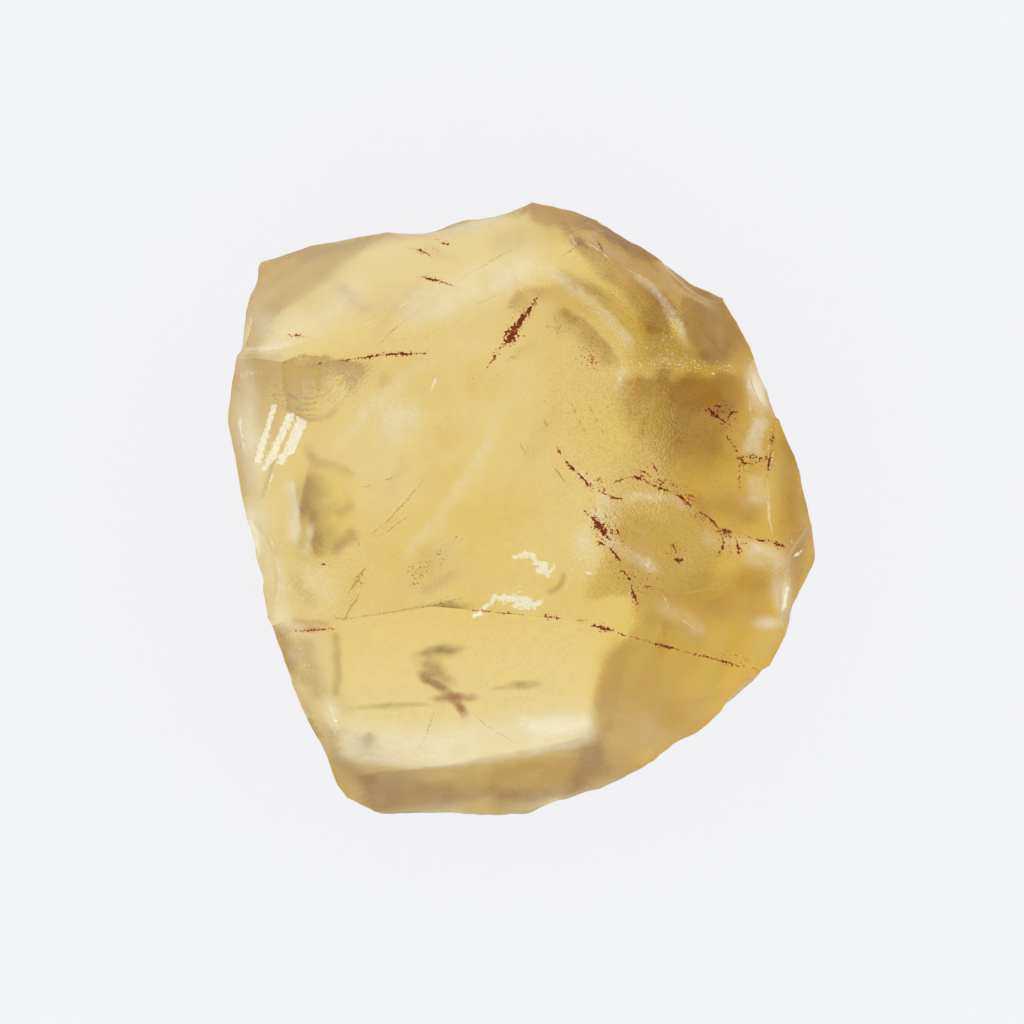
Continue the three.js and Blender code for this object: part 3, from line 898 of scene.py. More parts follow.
def fine_lines() -> list[Crack]:
    """Hair lines in dark gold: healed cracks, scratches and small steps of the break."""
    creases = [
        Crack((2.3 + 0.3 * i, 17.6 - 0.4 * i), (4.3 + 0.5 * i, 14.2 - 0.35 * i), 0.3, 0.05, beads=0.8)
        for i in range(6)
    ]
    hackles = [
        Crack((1.3 + 0.19 * i, 12.1 - 0.25 * (i % 3)), (1.5 + 0.17 * i, 10.3 + 0.3 * (i % 4)), 0.0, 0.045)
        for i in range(9)
    ]
    flicks = [
        Crack((2.9 + 0.35 * i, 6.6 - drop), (3.2 + 0.35 * i, 5.9 - drop), 0.05, 0.05)
        for i, drop in zip(range(7), itertools.cycle((0.0, 0.7, 1.4)))
    ]
    eye_x, eye_y, _ = RIPPLE_EYE_MM
    shells = [
        Crack((eye_x - 0.94 * r, eye_y - 0.34 * r), (eye_x + 0.8 * r, eye_y - 0.6 * r), -0.44 * r, 0.045)
        for r in np.arange(1.9, 3.5, 0.3)
    ]
    return [
        *creases,
        *hackles,
        *flicks,
        *shells,
        # two long bent lines on the broad face
        Crack((-5.9, 2.2), (-9.7, -1.7), 0.3, 0.06, beads=0.2),
        Crack((-6.7, 0.0), (-9.2, -1.75), 0.15, 0.05, beads=0.3),
        Crack((-7.3, 3.3), (-7.4, 2.2), 0.0, 0.04),
        Crack((-7.4, 2.2), (-9.9, 1.4), 0.1, 0.07, beads=1.0),
        Crack((-0.2, 4.1), (0.15, 3.2), 0.05, 0.06, beads=0.2),
        Crack((0.05, 4.2), (0.4, 3.3), 0.05, 0.05),
        Crack((0.8, 7.1), (1.6, 6.4), 0.0, 0.08, beads=1.0),
        Crack((1.2, 5.8), (1.5, 4.9), 0.0, 0.06, beads=1.0),
        Crack((1.9, 2.6), (2.6, 1.6), 0.0, 0.07, beads=1.0),
        Crack((-9.6, -3.4), (-10.8, -5.3), 0.0, 0.12, beads=1.0),
        Crack((-9.9, -4.9), (-10.9, -6.6), 0.0, 0.08, beads=1.0),
        Crack((-13.1, 3.0), (-10.6, 2.1), 0.1, 0.07, beads=0.9),
        Crack((-10.7, -1.3), (-10.0, -2.3), 0.1, 0.09, beads=0.9),
        Crack((-15.9, -1.4), (-15.2, -2.2), 0.1, 0.08, beads=0.8),
        # along the ridge and the peak
        Crack((-15.3, 8.6), (-11.2, 9.1), -0.05, 0.05, beads=0.6),
        Crack((-9.1, 9.8), (-4.3, 13.8), 0.2, 0.06, beads=0.6),
        Crack((-4.3, 13.8), (0.6, 16.7), 0.15, 0.06, beads=0.6),
        Crack((1.6, 14.7), (3.3, 13.9), 0.05, 0.07, beads=0.3),
        Crack((3.3, 13.9), (5.1, 13.1), 0.1, 0.07, beads=0.4),
        Crack((2.4, 14.2), (4.2, 13.3), -0.2, 0.05, beads=0.5),
        Crack((9.7, 12.0), (10.25, 10.7), 0.05, 0.1, beads=0.3),
        Crack((6.4, 12.6), (6.9, 12.2), 0.1, 0.05),
        # through the window
        Crack((-5.5, -12.2), (-7.0, -15.4), 0.3, 0.05, beads=0.3),
        Crack((-3.4, -12.4), (0.6, -15.0), -0.2, 0.05, beads=0.3),
    ]


def pale_cracks_and_highlights() -> list[Crack]:
    """Whitish lines of crushed edges and healed cracks, and painted highlights on crest and ridges."""
    # painted highlights: the teeth of the crest
    teeth = [
        Crack((7.9 + 0.27 * i, 9.5 + 0.25 * (i % 3)), (8.0 + 0.27 * i, 8.95 + 0.1 * (i % 2)), 0.03, 0.06)
        for i in range(9)
    ]
    ridges = [
        Crack(
            (7.4 + 0.12 * i, 14.3 - 0.12 * i),
            (9.1 + 0.36 * i, 10.2 - 0.22 * (i % 3)),
            0.5,
            0.05,
            beads=0.9,
        )
        for i in range(6)
    ]
    return [
        *teeth,
        *ridges,
        # painted highlights beside the winding band
        Crack((2.9, 17.3), (3.4, 16.3), -0.1, 0.1, beads=0.5),
        Crack((3.7, 16.6), (5.6, 15.2), 0.15, 0.12, beads=0.6),
        Crack((5.6, 15.2), (8.6, 13.4), 0.25, 0.08, beads=0.6),
        Crack((8.8, 13.2), (9.4, 11.0), 0.1, 0.1, beads=0.6),
        Crack((1.4, 14.6), (4.2, 13.4), 0.1, 0.07, beads=0.8),
        Crack((4.4, 13.3), (6.4, 11.4), 0.2, 0.08, beads=0.8),
        # the crushed crest
        Crack((6.6, 9.1), (5.7, 7.3), -0.15, 0.1, beads=0.9),
        # the front right faces
        Crack((8.4, -5.1), (9.0, -6.1), 0.1, 0.1, beads=0.6),
        Crack((8.8, -6.0), (11.3, -7.7), -0.1, 0.08, beads=0.4),
        Crack((9.3, -5.2), (13.0, -4.0), -0.25, 0.06, beads=0.4),
        Crack((6.8, -2.4), (8.4, -5.0), 0.15, 0.06, beads=0.8),
        # the right side
        Crack((15.6, 3.8), (15.2, 2.2), 0.0, 0.1, beads=0.4),
        Crack((15.2, 2.2), (15.5, -1.9), -0.1, 0.12, beads=0.4),
        Crack((14.0, 8.4), (14.3, 5.0), -0.1, 0.1, beads=0.9),
        Crack((16.7, -3.9), (16.0, -6.4), 0.1, 0.24, beads=1.0),
        # the left side
        Crack((-18.1, 8.35), (-15.8, 8.6), 0.0, 0.07, beads=0.4),
        Crack((-17.7, 8.1), (-15.9, 8.45), 0.05, 0.05, beads=0.4),
        Crack((-17.5, 7.8), (-16.9, 2.2), -0.25, 0.12, beads=1.0),
        Crack((-17.5, 9.6), (-10.9, 11.3), -0.25, 0.1),
        Crack((-10.9, 11.3), (-6.6, 13.6), -0.1, 0.08),
        Crack((-14.1, 8.8), (-9.3, 9.7), -0.05, 0.07, beads=0.6),
        Crack((-15.9, -1.0), (-15.3, -3.0), 0.1, 0.1, beads=1.0),
        Crack((-12.6, -11.0), (-11.6, -13.6), 0.1, 0.1),
        # faint lines on the broad face
        Crack((-6.1, 2.3), (-9.7, -1.45), 0.3, 0.05, beads=0.3),
        Crack((-6.3, 5.4), (-3.3, 6.6), -0.15, 0.06, beads=0.7),
        Crack((-3.8, 0.6), (-3.1, 0.9), -0.1, 0.06, beads=0.3),
        Crack((-3.2, 4.3), (-1.4, 4.9), 0.1, 0.05, beads=1.0),
        Crack((-4.9, -1.2), (-0.6, 4.4), 0.4, 0.05, beads=1.0),
    ]


def painted_glint_breaks() -> list[Crack]:
    """Painted glints: small curled breaks and flakes painted cream white, with a glow."""
    curls = [
        Crack((-0.7, -2.9), (0.95, -3.0), 0.14, 0.36, beads=0.3),
        Crack((0.4, -2.85), (1.55, -4.2), 0.2, 0.58, fat=0.6, beads=0.2),
        Crack((1.35, -4.1), (2.0, -3.1), -0.1, 0.2, fat=0.3, beads=0.2),
        Crack((-3.2, -6.8), (-1.4, -5.3), 0.14, 0.4, beads=0.6),
        Crack((-2.0, -5.3), (0.7, -5.55), -0.05, 0.46, fat=0.3, beads=0.4),
        Crack((-0.8, -5.85), (1.2, -5.6), -0.06, 0.5, fat=0.7, beads=0.3),
        Crack((-0.7, -4.75), (0.0, -4.6), 0.0, 0.1),
    ]
    fans = [
        Crack((0.85, -2.15), (1.05, -1.5), -0.12, 0.07, beads=0.3),
        Crack((1.15, -2.2), (1.3, -1.65), -0.12, 0.08, beads=0.3),
        Crack((3.0, -2.95), (3.75, -2.45), 0.05, 0.1, beads=0.5),
        Crack((3.3, -3.15), (4.15, -2.85), 0.05, 0.12, beads=0.5),
        Crack((3.5, -2.3), (4.15, -3.3), 0.08, 0.06),
        Crack((3.75, -3.75), (4.35, -3.95), 0.0, 0.14, beads=0.5),
        Crack((2.75, -4.4), (2.6, -5.05), 0.0, 0.13, beads=0.4),
        Crack((3.1, -5.0), (3.9, -4.9), 0.05, 0.06),
    ]
    flakes = [
        Crack((-5.3, 8.15), (-5.68, 7.05), 0.0, 0.17, fat=0.2, beads=0.1),
        Crack((-9.6, 8.85), (-9.5, 8.45), 0.0, 0.1),
        Crack((-8.95, 1.55), (-8.5, 1.72), 0.0, 0.08, beads=0.2),
        Crack((-7.3, 4.25), (-7.1, 4.2), 0.0, 0.07, beads=0.0),
        Crack((-1.65, 5.7), (-1.4, 5.6), 0.0, 0.07, beads=0.0),
        Crack((16.9, -2.95), (17.6, -2.45), 0.0, 0.2, beads=0.3),
        Crack((16.55, -1.6), (16.8, -2.6), 0.05, 0.09),
        Crack((-12.1, -12.3), (-11.3, -14.3), 0.1, 0.15, beads=0.9),
        Crack((7.9, 9.35), (8.1, 8.95), 0.0, 0.08),
        Crack((9.8, 8.95), (9.9, 8.7), 0.0, 0.08),
        Crack((11.6, 8.55), (12.0, 8.35), 0.0, 0.08, beads=0.3),
        Crack((6.0, 7.6), (6.1, 7.1), 0.0, 0.06),
    ]
    crumbs = [
        Crack(
            (6.8 + 0.37 * i, 9.25 - 0.13 * (i * 3 % 5)),
            (7.1 + 0.36 * i, 9.1 - 0.17 * (i * 2 % 4)),
            0.08,
            0.03 + 0.02 * (i * 5 % 3),
        )
        for i in range(20)
    ]
    streaks = [
        Crack((-15.0, 3.75), (-16.2, 0.0), 0.05, 0.12, beads=0.3),
        Crack((-16.2, 0.1), (-16.0, -0.9), 0.0, 0.1, beads=0.8),
    ]
    return [*curls, *fans, *flakes, *crumbs, *streaks]


@dataclass(frozen=True)
class Plate:
    """A flat flake painted as a sky reflection: four corners in turn, in millimetres, seen from above.

    Its first side is torn, by up to `tear`.
    """

    corners: Path
    depth: float = 0.3
    crisp: float = 8.0
    tear: float = 0.3
    tear_pitch: float = 0.45

    def over(self, points: Array) -> tuple[Array, Array]:
        """Numbers as a crack has them: how far out the point is, and half a width.

        `aside` is zero inside and grows outwards from the nearest side, `crisp` times as fast
        as the distance. The half width is the depth.
        """
        corners = np.array(self.corners)
        inside = np.full(len(points), np.inf)
        for side, (a, b) in enumerate(zip(corners, np.roll(corners, -1, axis=0))):
            along = (b - a) / np.hypot(*(b - a))
            away = points[:, :2] - a
            depth = along[0] * away[:, 1] - along[1] * away[:, 0]
            if side == 0:
                noise = Noise.TORN_SIDE.cloud(points + 25.0, self.tear_pitch, 2)
                depth = depth + self.tear * noise
            inside = np.minimum(inside, depth)
        half = np.where(inside > -self.depth, self.depth, 0.0)
        return np.clip(-inside, 0.0, None) * self.crisp, half


def painted_glint_plates() -> list[Plate]:
    """Flakes at the left edge, painted as reflections that shine like small windows."""
    return [
        Plate(((-16.1, 2.5), (-15.45, 2.9), (-13.95, 5.85), (-14.45, 6.05))),
        Plate(((-15.25, 2.6), (-14.2, 3.3), (-13.15, 5.45), (-13.75, 5.75))),
        Plate(((-16.65, 3.1), (-16.25, 2.8), (-15.1, 6.5), (-15.35, 6.65))),
    ]


def hazy_and_painted_light_places() -> list[Patch]:
    """Where the surface is crushed and looks milky, painted lighter as painted light."""
    return [
        Patch((7.6, -2.9), (1.3, 0.8), -20, 0.2),
        Patch((5.2, -0.2), (1.0, 1.2), 0, 0.3),
        Patch((3.9, -2.2), (0.7, 1.2), 20, 0.3),
        Patch((14.6, 7.2), (0.6, 1.6), 12, 0.6),
        Patch((14.0, 0.5), (0.7, 0.45), 0, 0.2),
        Patch((15.2, -2.9), (1.5, 0.9), -10, 0.32),
        Patch((16.1, -5.2), (0.7, 1.4), 12, 0.4),
        Patch((15.2, -7.0), (0.9, 0.4), 0, 0.3),
        Patch((9.9, -6.9), (1.6, 0.7), -35, 0.18),
        Patch((-15.6, 11.8), (1.8, 1.6), 0, 0.3),
        Patch((-13.8, -5.3), (2.6, 1.6), 10, 0.3),
        Patch((-12.8, -9.5), (0.5, 1.6), 12, 0.75),
        Patch((-14.2, -8.8), (0.4, 0.5), 0, 0.5),
        Patch((-11.8, -12.9), (0.5, 1.4), 20, 0.5),
        Patch((-17.2, 6.0), (0.9, 4.4), 8, 0.4),
        Patch((-16.0, -2.8), (1.0, 3.4), 14, 0.75),
        Patch((-12.6, 7.4), (2.4, 1.7), 20, 0.2),
        Patch((-13.8, -8.6), (1.0, 1.6), 14, 0.25),
        Patch((6.4, -13.4), (2.8, 1.6), -20, 0.1),
        Patch((-7.3, 5.6), (1.6, 1.7), 0, 0.2),
    ]


def golden_places() -> list[Patch]:
    """Where the upper faces carry a thin golden stain."""
    return [
        Patch((-2.0, -4.0), (5.0, 4.0), 0, 0.3),
        Patch((-12.3, 0.2), (2.2, 3.4), 0, 1.0),
        Patch((3.8, 13.6), (3.4, 3.0), -40, 0.6),
        Patch((7.4, 12.8), (2.4, 4.0), 30, 0.85),
        Patch((10.6, 12.6), (3.0, 5.4), 40, 1.5),
        Patch((5.4, 16.8), (5.2, 2.2), -28, 1.4),
        Patch((8.4, 5.2), (4.5, 3.2), 0, 0.6),
        Patch((10.6, 9.2), (4.2, 1.2), 0, 0.6),
        Patch((-1.0, -16.6), (9.0, 2.2), 8, 1.0),
        Patch((9.4, -9.6), (5.4, 4.2), -30, 0.6),
        Patch((6.4, -13.4), (3.4, 2.6), -20, 0.7),
        Patch((5.6, -10.4), (1.3, 4.0), -14, 0.9),
        Patch((-13.0, 7.4), (2.4, 1.8), 0, 0.85),
        Patch((-10.6, 8.4), (1.3, 1.2), 0, 0.8),
        Patch((-7.0, 8.0), (6.0, 3.0), 30, 0.15),
    ]


def etched_places() -> list[Patch]:
    """Where the break left a fine curly grain."""
    return [
        Patch((7.0, 3.5), (5.5, 6.5), 20, 0.9),
        Patch((3.5, 7.5), (3.0, 4.5), 10, 0.6),
        Patch((9.0, -2.4), (6.0, 3.6), -15, 0.7),
        Patch((6.0, 13.5), (5.0, 3.0), -40, 0.5),
        Patch((-5.0, -3.0), (2.2, 2.6), 0, 0.5),
        Patch((-9.0, 7.0), (4.0, 2.4), 20, 0.35),
        Patch((-13.0, -4.0), (2.5, 3.0), 0, 0.6),
        Patch((-10.5, -3.8), (1.6, 3.0), -30, 0.5),
        Patch((-12.3, 7.6), (1.4, 0.9), 0, 0.7),
    ]


def brown_places() -> list[Patch]:
    """Where the surface carries a soft brown bloom."""
    return [
        Patch((-10.7, 13.2), (1.8, 0.45), -43, 0.5),
        Patch((-8.5, 7.9), (0.45, 0.5), 0, 0.5),
        Patch((-5.3, 15.9), (1.4, 0.4), -20, 0.3),
        Patch((-7.6, 12.6), (2.6, 0.35), 50, 0.25),
        Patch((4.6, 13.4), (1.9, 0.5), -30, 0.25),
        Patch((11.0, -0.5), (0.7, 0.5), -25, 0.45),
        Patch((-5.4, -2.9), (1.4, 0.9), 50, 0.2),
        Patch((-13.4, -7.3), (1.2, 0.2), 5, 0.6),
        Patch((-13.9, 8.8), (1.2, 0.15), 4, 0.5),
        Patch((-8.3, -17.8), (0.9, 0.5), 60, 0.4),
        Patch((1.6, -15.7), (1.4, 0.25), 5, 0.35),
        Patch((-10.0, -14.5), (0.9, 0.45), 10, 0.3),
    ]


def rusty_specks() -> list[Patch]:
    """Where the surface is dotted with rust."""
    return [
        Patch((4.0, 9.2), (0.8, 1.3), 10, 1.1),
        Patch((5.4, 7.0), (0.4, 1.2), 0, 0.7),
        Patch((4.6, 1.6), (2.0, 0.7), -30, 0.9),
        Patch((8.2, 1.8), (2.4, 0.7), -20, 0.9),
        Patch((10.4, 0.1), (1.8, 0.6), -42, 0.95),
        Patch((5.2, -1.4), (1.0, 2.4), 30, 0.9),
        Patch((6.6, -4.2), (1.2, 1.2), 25, 0.8),
        Patch((8.1, -4.6), (1.2, 0.6), -20, 0.9),
        Patch((9.4, -2.6), (1.0, 0.8), 0, 0.7),
        Patch((-4.9, -5.8), (0.5, 1.0), 0, 0.8),
        Patch((13.9, 3.6), (1.4, 1.1), 0, 0.4),
        Patch((-0.4, 11.2), (0.9, 1.7), -35, 0.9),
        Patch((12.8, -2.0), (1.6, 0.8), 0, 0.75),
    ]


def pale_flecks() -> list[Patch]:
    """Where the surface is dotted with crushed quartz, in the painted glints' cream and glow."""
    return [
        Patch((-16.9, 5.5), (0.9, 4.0), 5, 0.8),
        Patch((-15.5, -2.6), (1.0, 3.4), 12, 0.8),
        Patch((-12.8, -5.6), (2.4, 1.4), 0, 0.7),
        Patch((-13.6, -9.6), (1.4, 2.8), 15, 0.8),
        Patch((-11.6, -13.6), (0.8, 2.0), 20, 0.9),
        Patch((-10.4, 8.3), (1.8, 0.6), 10, 0.8),
        Patch((3.4, -3.4), (1.8, 1.6), 0, 0.9),
        Patch((0.2, -5.6), (2.6, 0.8), 10, 0.7),
        Patch((10.0, 8.9), (4.2, 0.5), 0, 1.0),
        Patch((8.9, 10.0), (1.6, 1.2), 0, 0.8),
        Patch((16.2, -4.4), (1.2, 3.0), 8, 0.9),
        Patch((15.0, 5.6), (0.8, 3.0), 5, 0.7),
        Patch((5.6, 8.2), (0.8, 1.4), 20, 0.8),
    ]


def dark_specks() -> list[Patch]:
    """Where the broad face is dotted with tiny dark specks."""
    return [
        Patch((-6.6, -4.0), (0.8, 0.9), 0, 1.2),
        Patch((-5.4, -3.0), (1.0, 0.7), 40, 0.9),
        Patch((-4.2, -1.9), (0.9, 0.4), 10, 0.6),
        Patch((-10.2, -4.6), (0.3, 1.5), -32, 0.5),
        Patch((3.2, 11.6), (0.9, 0.4), 0, 0.7),
        Patch((11.0, 1.4), (0.6, 0.7), 0, 0.6),
    ]


@dataclass(frozen=True)
class EdgeLine:
    """A line of rust or crushed quartz that keeps to the edge between two faces.

    It runs from `start` to `end` in x, `width` is half its width and `beads` how broken it is.
    """

    first: str
    second: str
    start: float
    end: float
    width: float = 0.06
    beads: float = 0.8
    wander: float = 0.12

    def over(self, shape: StoneShape, points: Array, values: Array) -> tuple[Array, Array]:
        """Signed distance to the edge and half width there.

        The distance is the difference of how far the point is beyond either face, over twice the
        sine of half the angle between them.

        Args:
            shape: the stone.
            points: an (n, 3) array.
            values: how far the points are beyond each cut.

        Returns:
            `aside` and `half` of each.
        """
        one, two = shape.cuts[self.first], shape.cuts[self.second]
        gap = values[shape.number(self.first)] - values[shape.number(self.second)]
        aside = gap / np.linalg.norm(one.axes()[2] - two.axes()[2])
        top = values.max(axis=0)
        aside = aside + self.wander * Noise.EDGE_WANDER.cloud(points + 35.0, 1.4, 2)
        lower = np.minimum(values[shape.number(self.first)], values[shape.number(self.second)])
        on_edge = lower > top - 0.5
        x = points[:, 0]
        ends = ease(x, self.start, self.start + 1.0) * (1 - ease(x, self.end - 1.0, self.end))
        run = np.stack([x, np.full_like(x, self.start), np.zeros_like(x)], axis=1)
        bead = Noise.EDGE_BEADS.cloud(run, 0.5, 2)
        half = self.width * ends * np.clip(1 - self.beads * (0.5 - 1.4 * bead), 0, 1.5)
        return np.where(on_edge, aside, 1.0), np.where(on_edge, half, 0.0)


def rusty_edges() -> list[EdgeLine]:
    """Edges of the broad face that hold rust."""
    return [
        EdgeLine("broad_left", "ridge_left", -15.5, -4.0, 0.06, 1.0),
        EdgeLine("broad_right", "front_window", -3.5, 3.5, 0.07, 1.0, 0.06),
    ]


def fine_edges() -> list[EdgeLine]:
    """Edges that show as a hair line."""
    return [
        EdgeLine("broad_left", "front_window", -13.5, -2.0, 0.06, 0.6, 0.06),
        EdgeLine("broad_right", "front_window", -3.5, 4.5, 0.06, 0.6, 0.06),
        EdgeLine("broad_left", "ridge_left", -16.5, -3.5, 0.05, 0.8, 0.06),
    ]


def pale_edges_and_highlights() -> list[EdgeLine]:
    """Edges that are bruised white, with a painted highlight along the window's top edge."""
    return [
        EdgeLine("broad_left", "front_window", -13.5, -2.0, 0.04, 0.9),
        EdgeLine("ridge_left", "shoulder_left", -17.0, -6.0, 0.06, 0.9),
    ]


# ---- The stone's skin as a mesh ----


@dataclass
class Skin:
    """The stone's surface as triangles, in millimetres, and what is known of each corner.

    `points` are the corners, `triangles` their numbers turning outwards, `lean` the direction
    that the light sees at each triangle's three corners, and `values` the named numbers at each
    corner that the finish reads.
    """

    points: Array
    triangles: Array
    lean: Array
    values: dict[str, Array]


@dataclass
class SkinMaker:
    """Lays a grid over the stone, pulls it onto the sharp edges and splits it into triangles."""

    shape: StoneShape

    # the grid, and how it is pulled onto the edges
    cells: int = 128
    lean: float = 0.3
    pull: float = 0.52
    corner_pull: float = 1.3
    least_turn: float = 0.08

    # how faces blend into each other, in millimetres, and how edges are worn round
    blend: float = 0.12
    edge_fade: float = 0.45
    wear: float = 0.16
    round_angle: float = 40.0

    # relief, in millimetres
    grain_pitch: float = 2.2
    grain_layers: int = 2
    grain_gain: float = 1.8
    streak_heading: float = 62.0
    streak_stretch: float = 7.0
    streak_pitch: float = 1.3
    streak_height: float = 0.035
    streak_rise: float = 0.2
    wave_pitch: float = 3.6
    wave_height: float = 0.04
    band_pitch: float = 1.1
    band_height: float = 0.035
    band_squeeze: float = 0.15
    ragged_pitch: float = 1.5
    ragged_height: float = 0.16
    ragged_reach: float = 0.7

    # finish
    smooth: float = 0.015
    matt: float = 0.55
    roughest: float = 0.6
    mottle_pitch: float = 2.2
    cloud_pitch: float = 2.6
    fine_pitch: float = 0.8
    bloom_pitch: float = 0.9
    side_stain: float = 1.0
    under_stain: float = 0.6
    # strength of the painted shade; haze on the broad faces and the upper left, partly painted light and
    # sheen
    shade_gain: float = 1.15
    broad_haze: float = 0.05
    cloud_haze: float = 0.12
    fine_haze: float = 0.03
    corner_haze_and_sheen: float = 0.1
    facing_span: tuple[float, float] = (0.1, 0.35)
    ripple_eye: Place = RIPPLE_EYE_MM
    ripple_span: tuple[float, float] = (1.8, 3.6)

    def slopes(self, points: Array, rows: Array) -> Array:
        """Gradients of chosen cuts at some points, by central differences.

        Args:
            points: an (n, 3) array.
            rows: for each point, the numbers of k cuts, as an (n, k) array.

        Returns:
            An (n, k, 3) array.
        """
        step, count = 1e-3, np.arange(len(points))[:, None]
        parts = []
        for axis in np.eye(3) * step:
            ahead = self.shape.beyond_each(points + axis).T[count, rows]
            behind = self.shape.beyond_each(points - axis).T[count, rows]
            parts.append((ahead - behind) / (2 * step))
        return np.stack(parts, axis=-1)

    def pulled(self, points: Array, reach: Array, faces: int) -> Array:
        """Points moved the shortest way onto the edge or corner that `faces` cuts share.

        Each of three Newton steps solves J d = -f for the shortest d, with J the gradients of
        the cuts that stick out most and f how far the point is beyond them. A point that would
        move further than its reach, or off the skin, stays.

        Args:
            points: an (n, 3) array.
            reach: how far each may move.
            faces: 2 for an edge, 3 for a corner.

        Returns:
            Their new places.
        """
        values = self.shape.beyond_each(points)
        rows = np.argsort(-values, axis=0)[:faces].T
        near = values.T[np.arange(len(points)), rows[:, -1]] > -1.5 * reach
        picked = np.flatnonzero(near)
        moved, rows = points[picked].copy(), rows[picked]
        count = np.arange(len(picked))[:, None]
        for _ in range(3):
            jacobian = self.slopes(moved, rows)
            short = self.shape.beyond_each(moved).T[count, rows]
            moved -= np.einsum("nij,nj->ni", np.linalg.pinv(jacobian, rcond=0.05), short)
        far = np.linalg.norm(moved - points[picked], axis=1)
        off = np.abs(self.shape.beyond_each(moved).max(axis=0))
        good = (far < reach[picked]) & (off < 0.01)
        result = points.copy()
        result[picked[good]] = moved[good]
        return result

    @staticmethod
    def cross_areas(points: Array, quads: Array) -> Array:
        """Twice each quad's area as a vector: the cross product of its diagonals."""
        a, b, c, d = (points[quads[:, k]] for k in range(4))
        return np.cross(c - a, d - b)

    def snapped(self, points: Array, quads: Array) -> Array:
        """The grid with its nearest corners on the edges, and no cell folded over.

        Args:
            points: the grid's corners on the skin.
            quads: the numbers of each cell's corners.

        Returns:
            The corners' new places.
        """
        length = np.zeros(len(points))
        for a, b in ((0, 1), (1, 2), (2, 3), (3, 0)):
            side = np.linalg.norm(points[quads[:, a]] - points[quads[:, b]], axis=1)
            np.maximum.at(length, quads[:, a], side)
            np.maximum.at(length, quads[:, b], side)
        before = self.cross_areas(points, quads)
        result = points
        for faces, pull in ((2, self.pull), (3, self.pull * self.corner_pull)):
            result = self.pulled(result, length * pull, faces)
        for _ in range(3):
            after = self.cross_areas(result, quads)
            kept = self.least_turn * (before * before).sum(axis=1)
            folded = (before * after).sum(axis=1) < kept
            back = np.unique(quads[folded])
            result[back] = points[back]
        return result

    def split(self, points: Array, quads: Array) -> Array:
        """Each quad as two triangles, cut along the diagonal that lies closer to the skin."""
        a, b, c, d = quads.T
        first = np.abs(self.shape.beyond_each((points[a] + points[c]) / 2).max(axis=0))
        second = np.abs(self.shape.beyond_each((points[b] + points[d]) / 2).max(axis=0))
        along_ac = np.stack([a, b, c, a, c, d], axis=1)
        along_bd = np.stack([a, b, d, b, c, d], axis=1)
        return np.where((first <= second)[:, None], along_ac, along_bd).reshape(-1, 3)

    def make(self) -> Skin:
        """Work out the whole skin.

        Returns:
            The skin with its ragged outline and its fine unevenness, which fades out at the
            edges, so that they stay where they are.
        """
        directions, quads = sphere_grid(self.cells, self.lean)
        radius = self.shape.along(directions)
        points = np.array(self.shape.seed) + radius[:, None] * directions
        points = self.snapped(points, quads)
        triangles = self.split(points, quads)
        values = self.shape.beyond_each(points)
        top = values.max(axis=0)
        weight = np.exp((values - top) / self.blend)
        weight /= weight.sum(axis=0)
        cuts = list(self.shape.cuts.values())
        grain = np.array([cut.grain for cut in cuts]) @ weight
        edge = np.exp((np.sort(values, axis=0)[-2] - top) / self.edge_fade)
        normals = self.normals(points, triangles)
        frost = np.array([cut.frost for cut in cuts]) @ weight
        facing = ease(normals[:, 2], *self.facing_span)
        etch = laid_over(etched_places(), points) * facing
        named = {
            "rough": self.roughness(points, frost, etch),
            "grain": (0.3 * frost + etch) * facing,
            "ripple": self.ripples(points, weight[self.shape.number("chip_crescent")]),
            "stain": self.stain(points, weight, facing),
            **self.tones(points, weight, facing),
            **self.marks(points, values, facing),
        }
        shift = self.unevenness(points, grain, weight) * (1.0 - edge)
        final = points + shift[:, None] * normals + self.ragged(points, values)
        relief = self.normals(final, triangles) - normals
        lean = self.rounded(points, triangles, values, relief)
        return Skin(final, triangles, lean, named)

    def ragged(self, points: Array, values: Array) -> Array:
        """How far the outline strays: noise, level and outwards, on the sides and their top edge."""
        rows = [row for row, name in enumerate(self.shape.cuts) if name.startswith("side_")]
        behind = values[rows].max(axis=0) - values.max(axis=0)
        share = ease(behind, -self.ragged_reach, 0.0)
        noise = Noise.OUTLINE.cloud(points + 45.0, self.ragged_pitch, 3) * self.ragged_height
        outward = unit(points * np.array([1.0, 1.0, 0.0]))
        return (noise * share)[:, None] * outward

    def rounded(self, points: Array, triangles: Array, values: Array, relief: Array) -> Array:
        """Directions that light sees, with edges worn round.

        At each corner of a triangle the directions of the three cuts that stick out most are
        mixed, weighted by exp(depth / wear). Cuts that turn away from the triangle by more than
        the rounding angle are left out, so big edges stay sharp. The fine relief is added.

        Args:
            points: the skin's corners.
            triangles: the numbers of each triangle's corners.
            values: how far the corners are beyond each cut.
            relief: how the fine relief turns the direction at each.

        Returns:
            A direction for each corner of each triangle.
        """
        rows = np.argsort(-values, axis=0)[:3].T
        ways = unit(self.slopes(points, rows))
        depth = values.T[np.arange(len(points))[:, None], rows]
        share = np.exp((depth - depth[:, :1]) / self.wear)
        a, b, c = (points[triangles[:, k]] for k in range(3))
        flat = unit(np.cross(b - a, c - a))
        own, weight = ways[triangles], share[triangles]
        alike = np.einsum("tckx,tx->tck", own, flat) > np.cos(np.radians(self.round_angle))
        mixed = np.einsum("tck,tckx->tcx", weight * alike, own)
        mixed = np.where(alike.any(axis=2)[..., None], mixed, flat[:, None, :])
        return unit(unit(mixed) + relief[triangles])

    @staticmethod
    def normals(points: Array, triangles: Array) -> Array:
        """Directions out of the skin at its corners: the sum of the cross products around each."""
        a, b, c = (points[triangles[:, k]] for k in range(3))
        faces = np.cross(b - a, c - a)
        total = np.zeros_like(points)
        for k in range(3):
            np.add.at(total, triangles[:, k], faces)
        return unit(total)

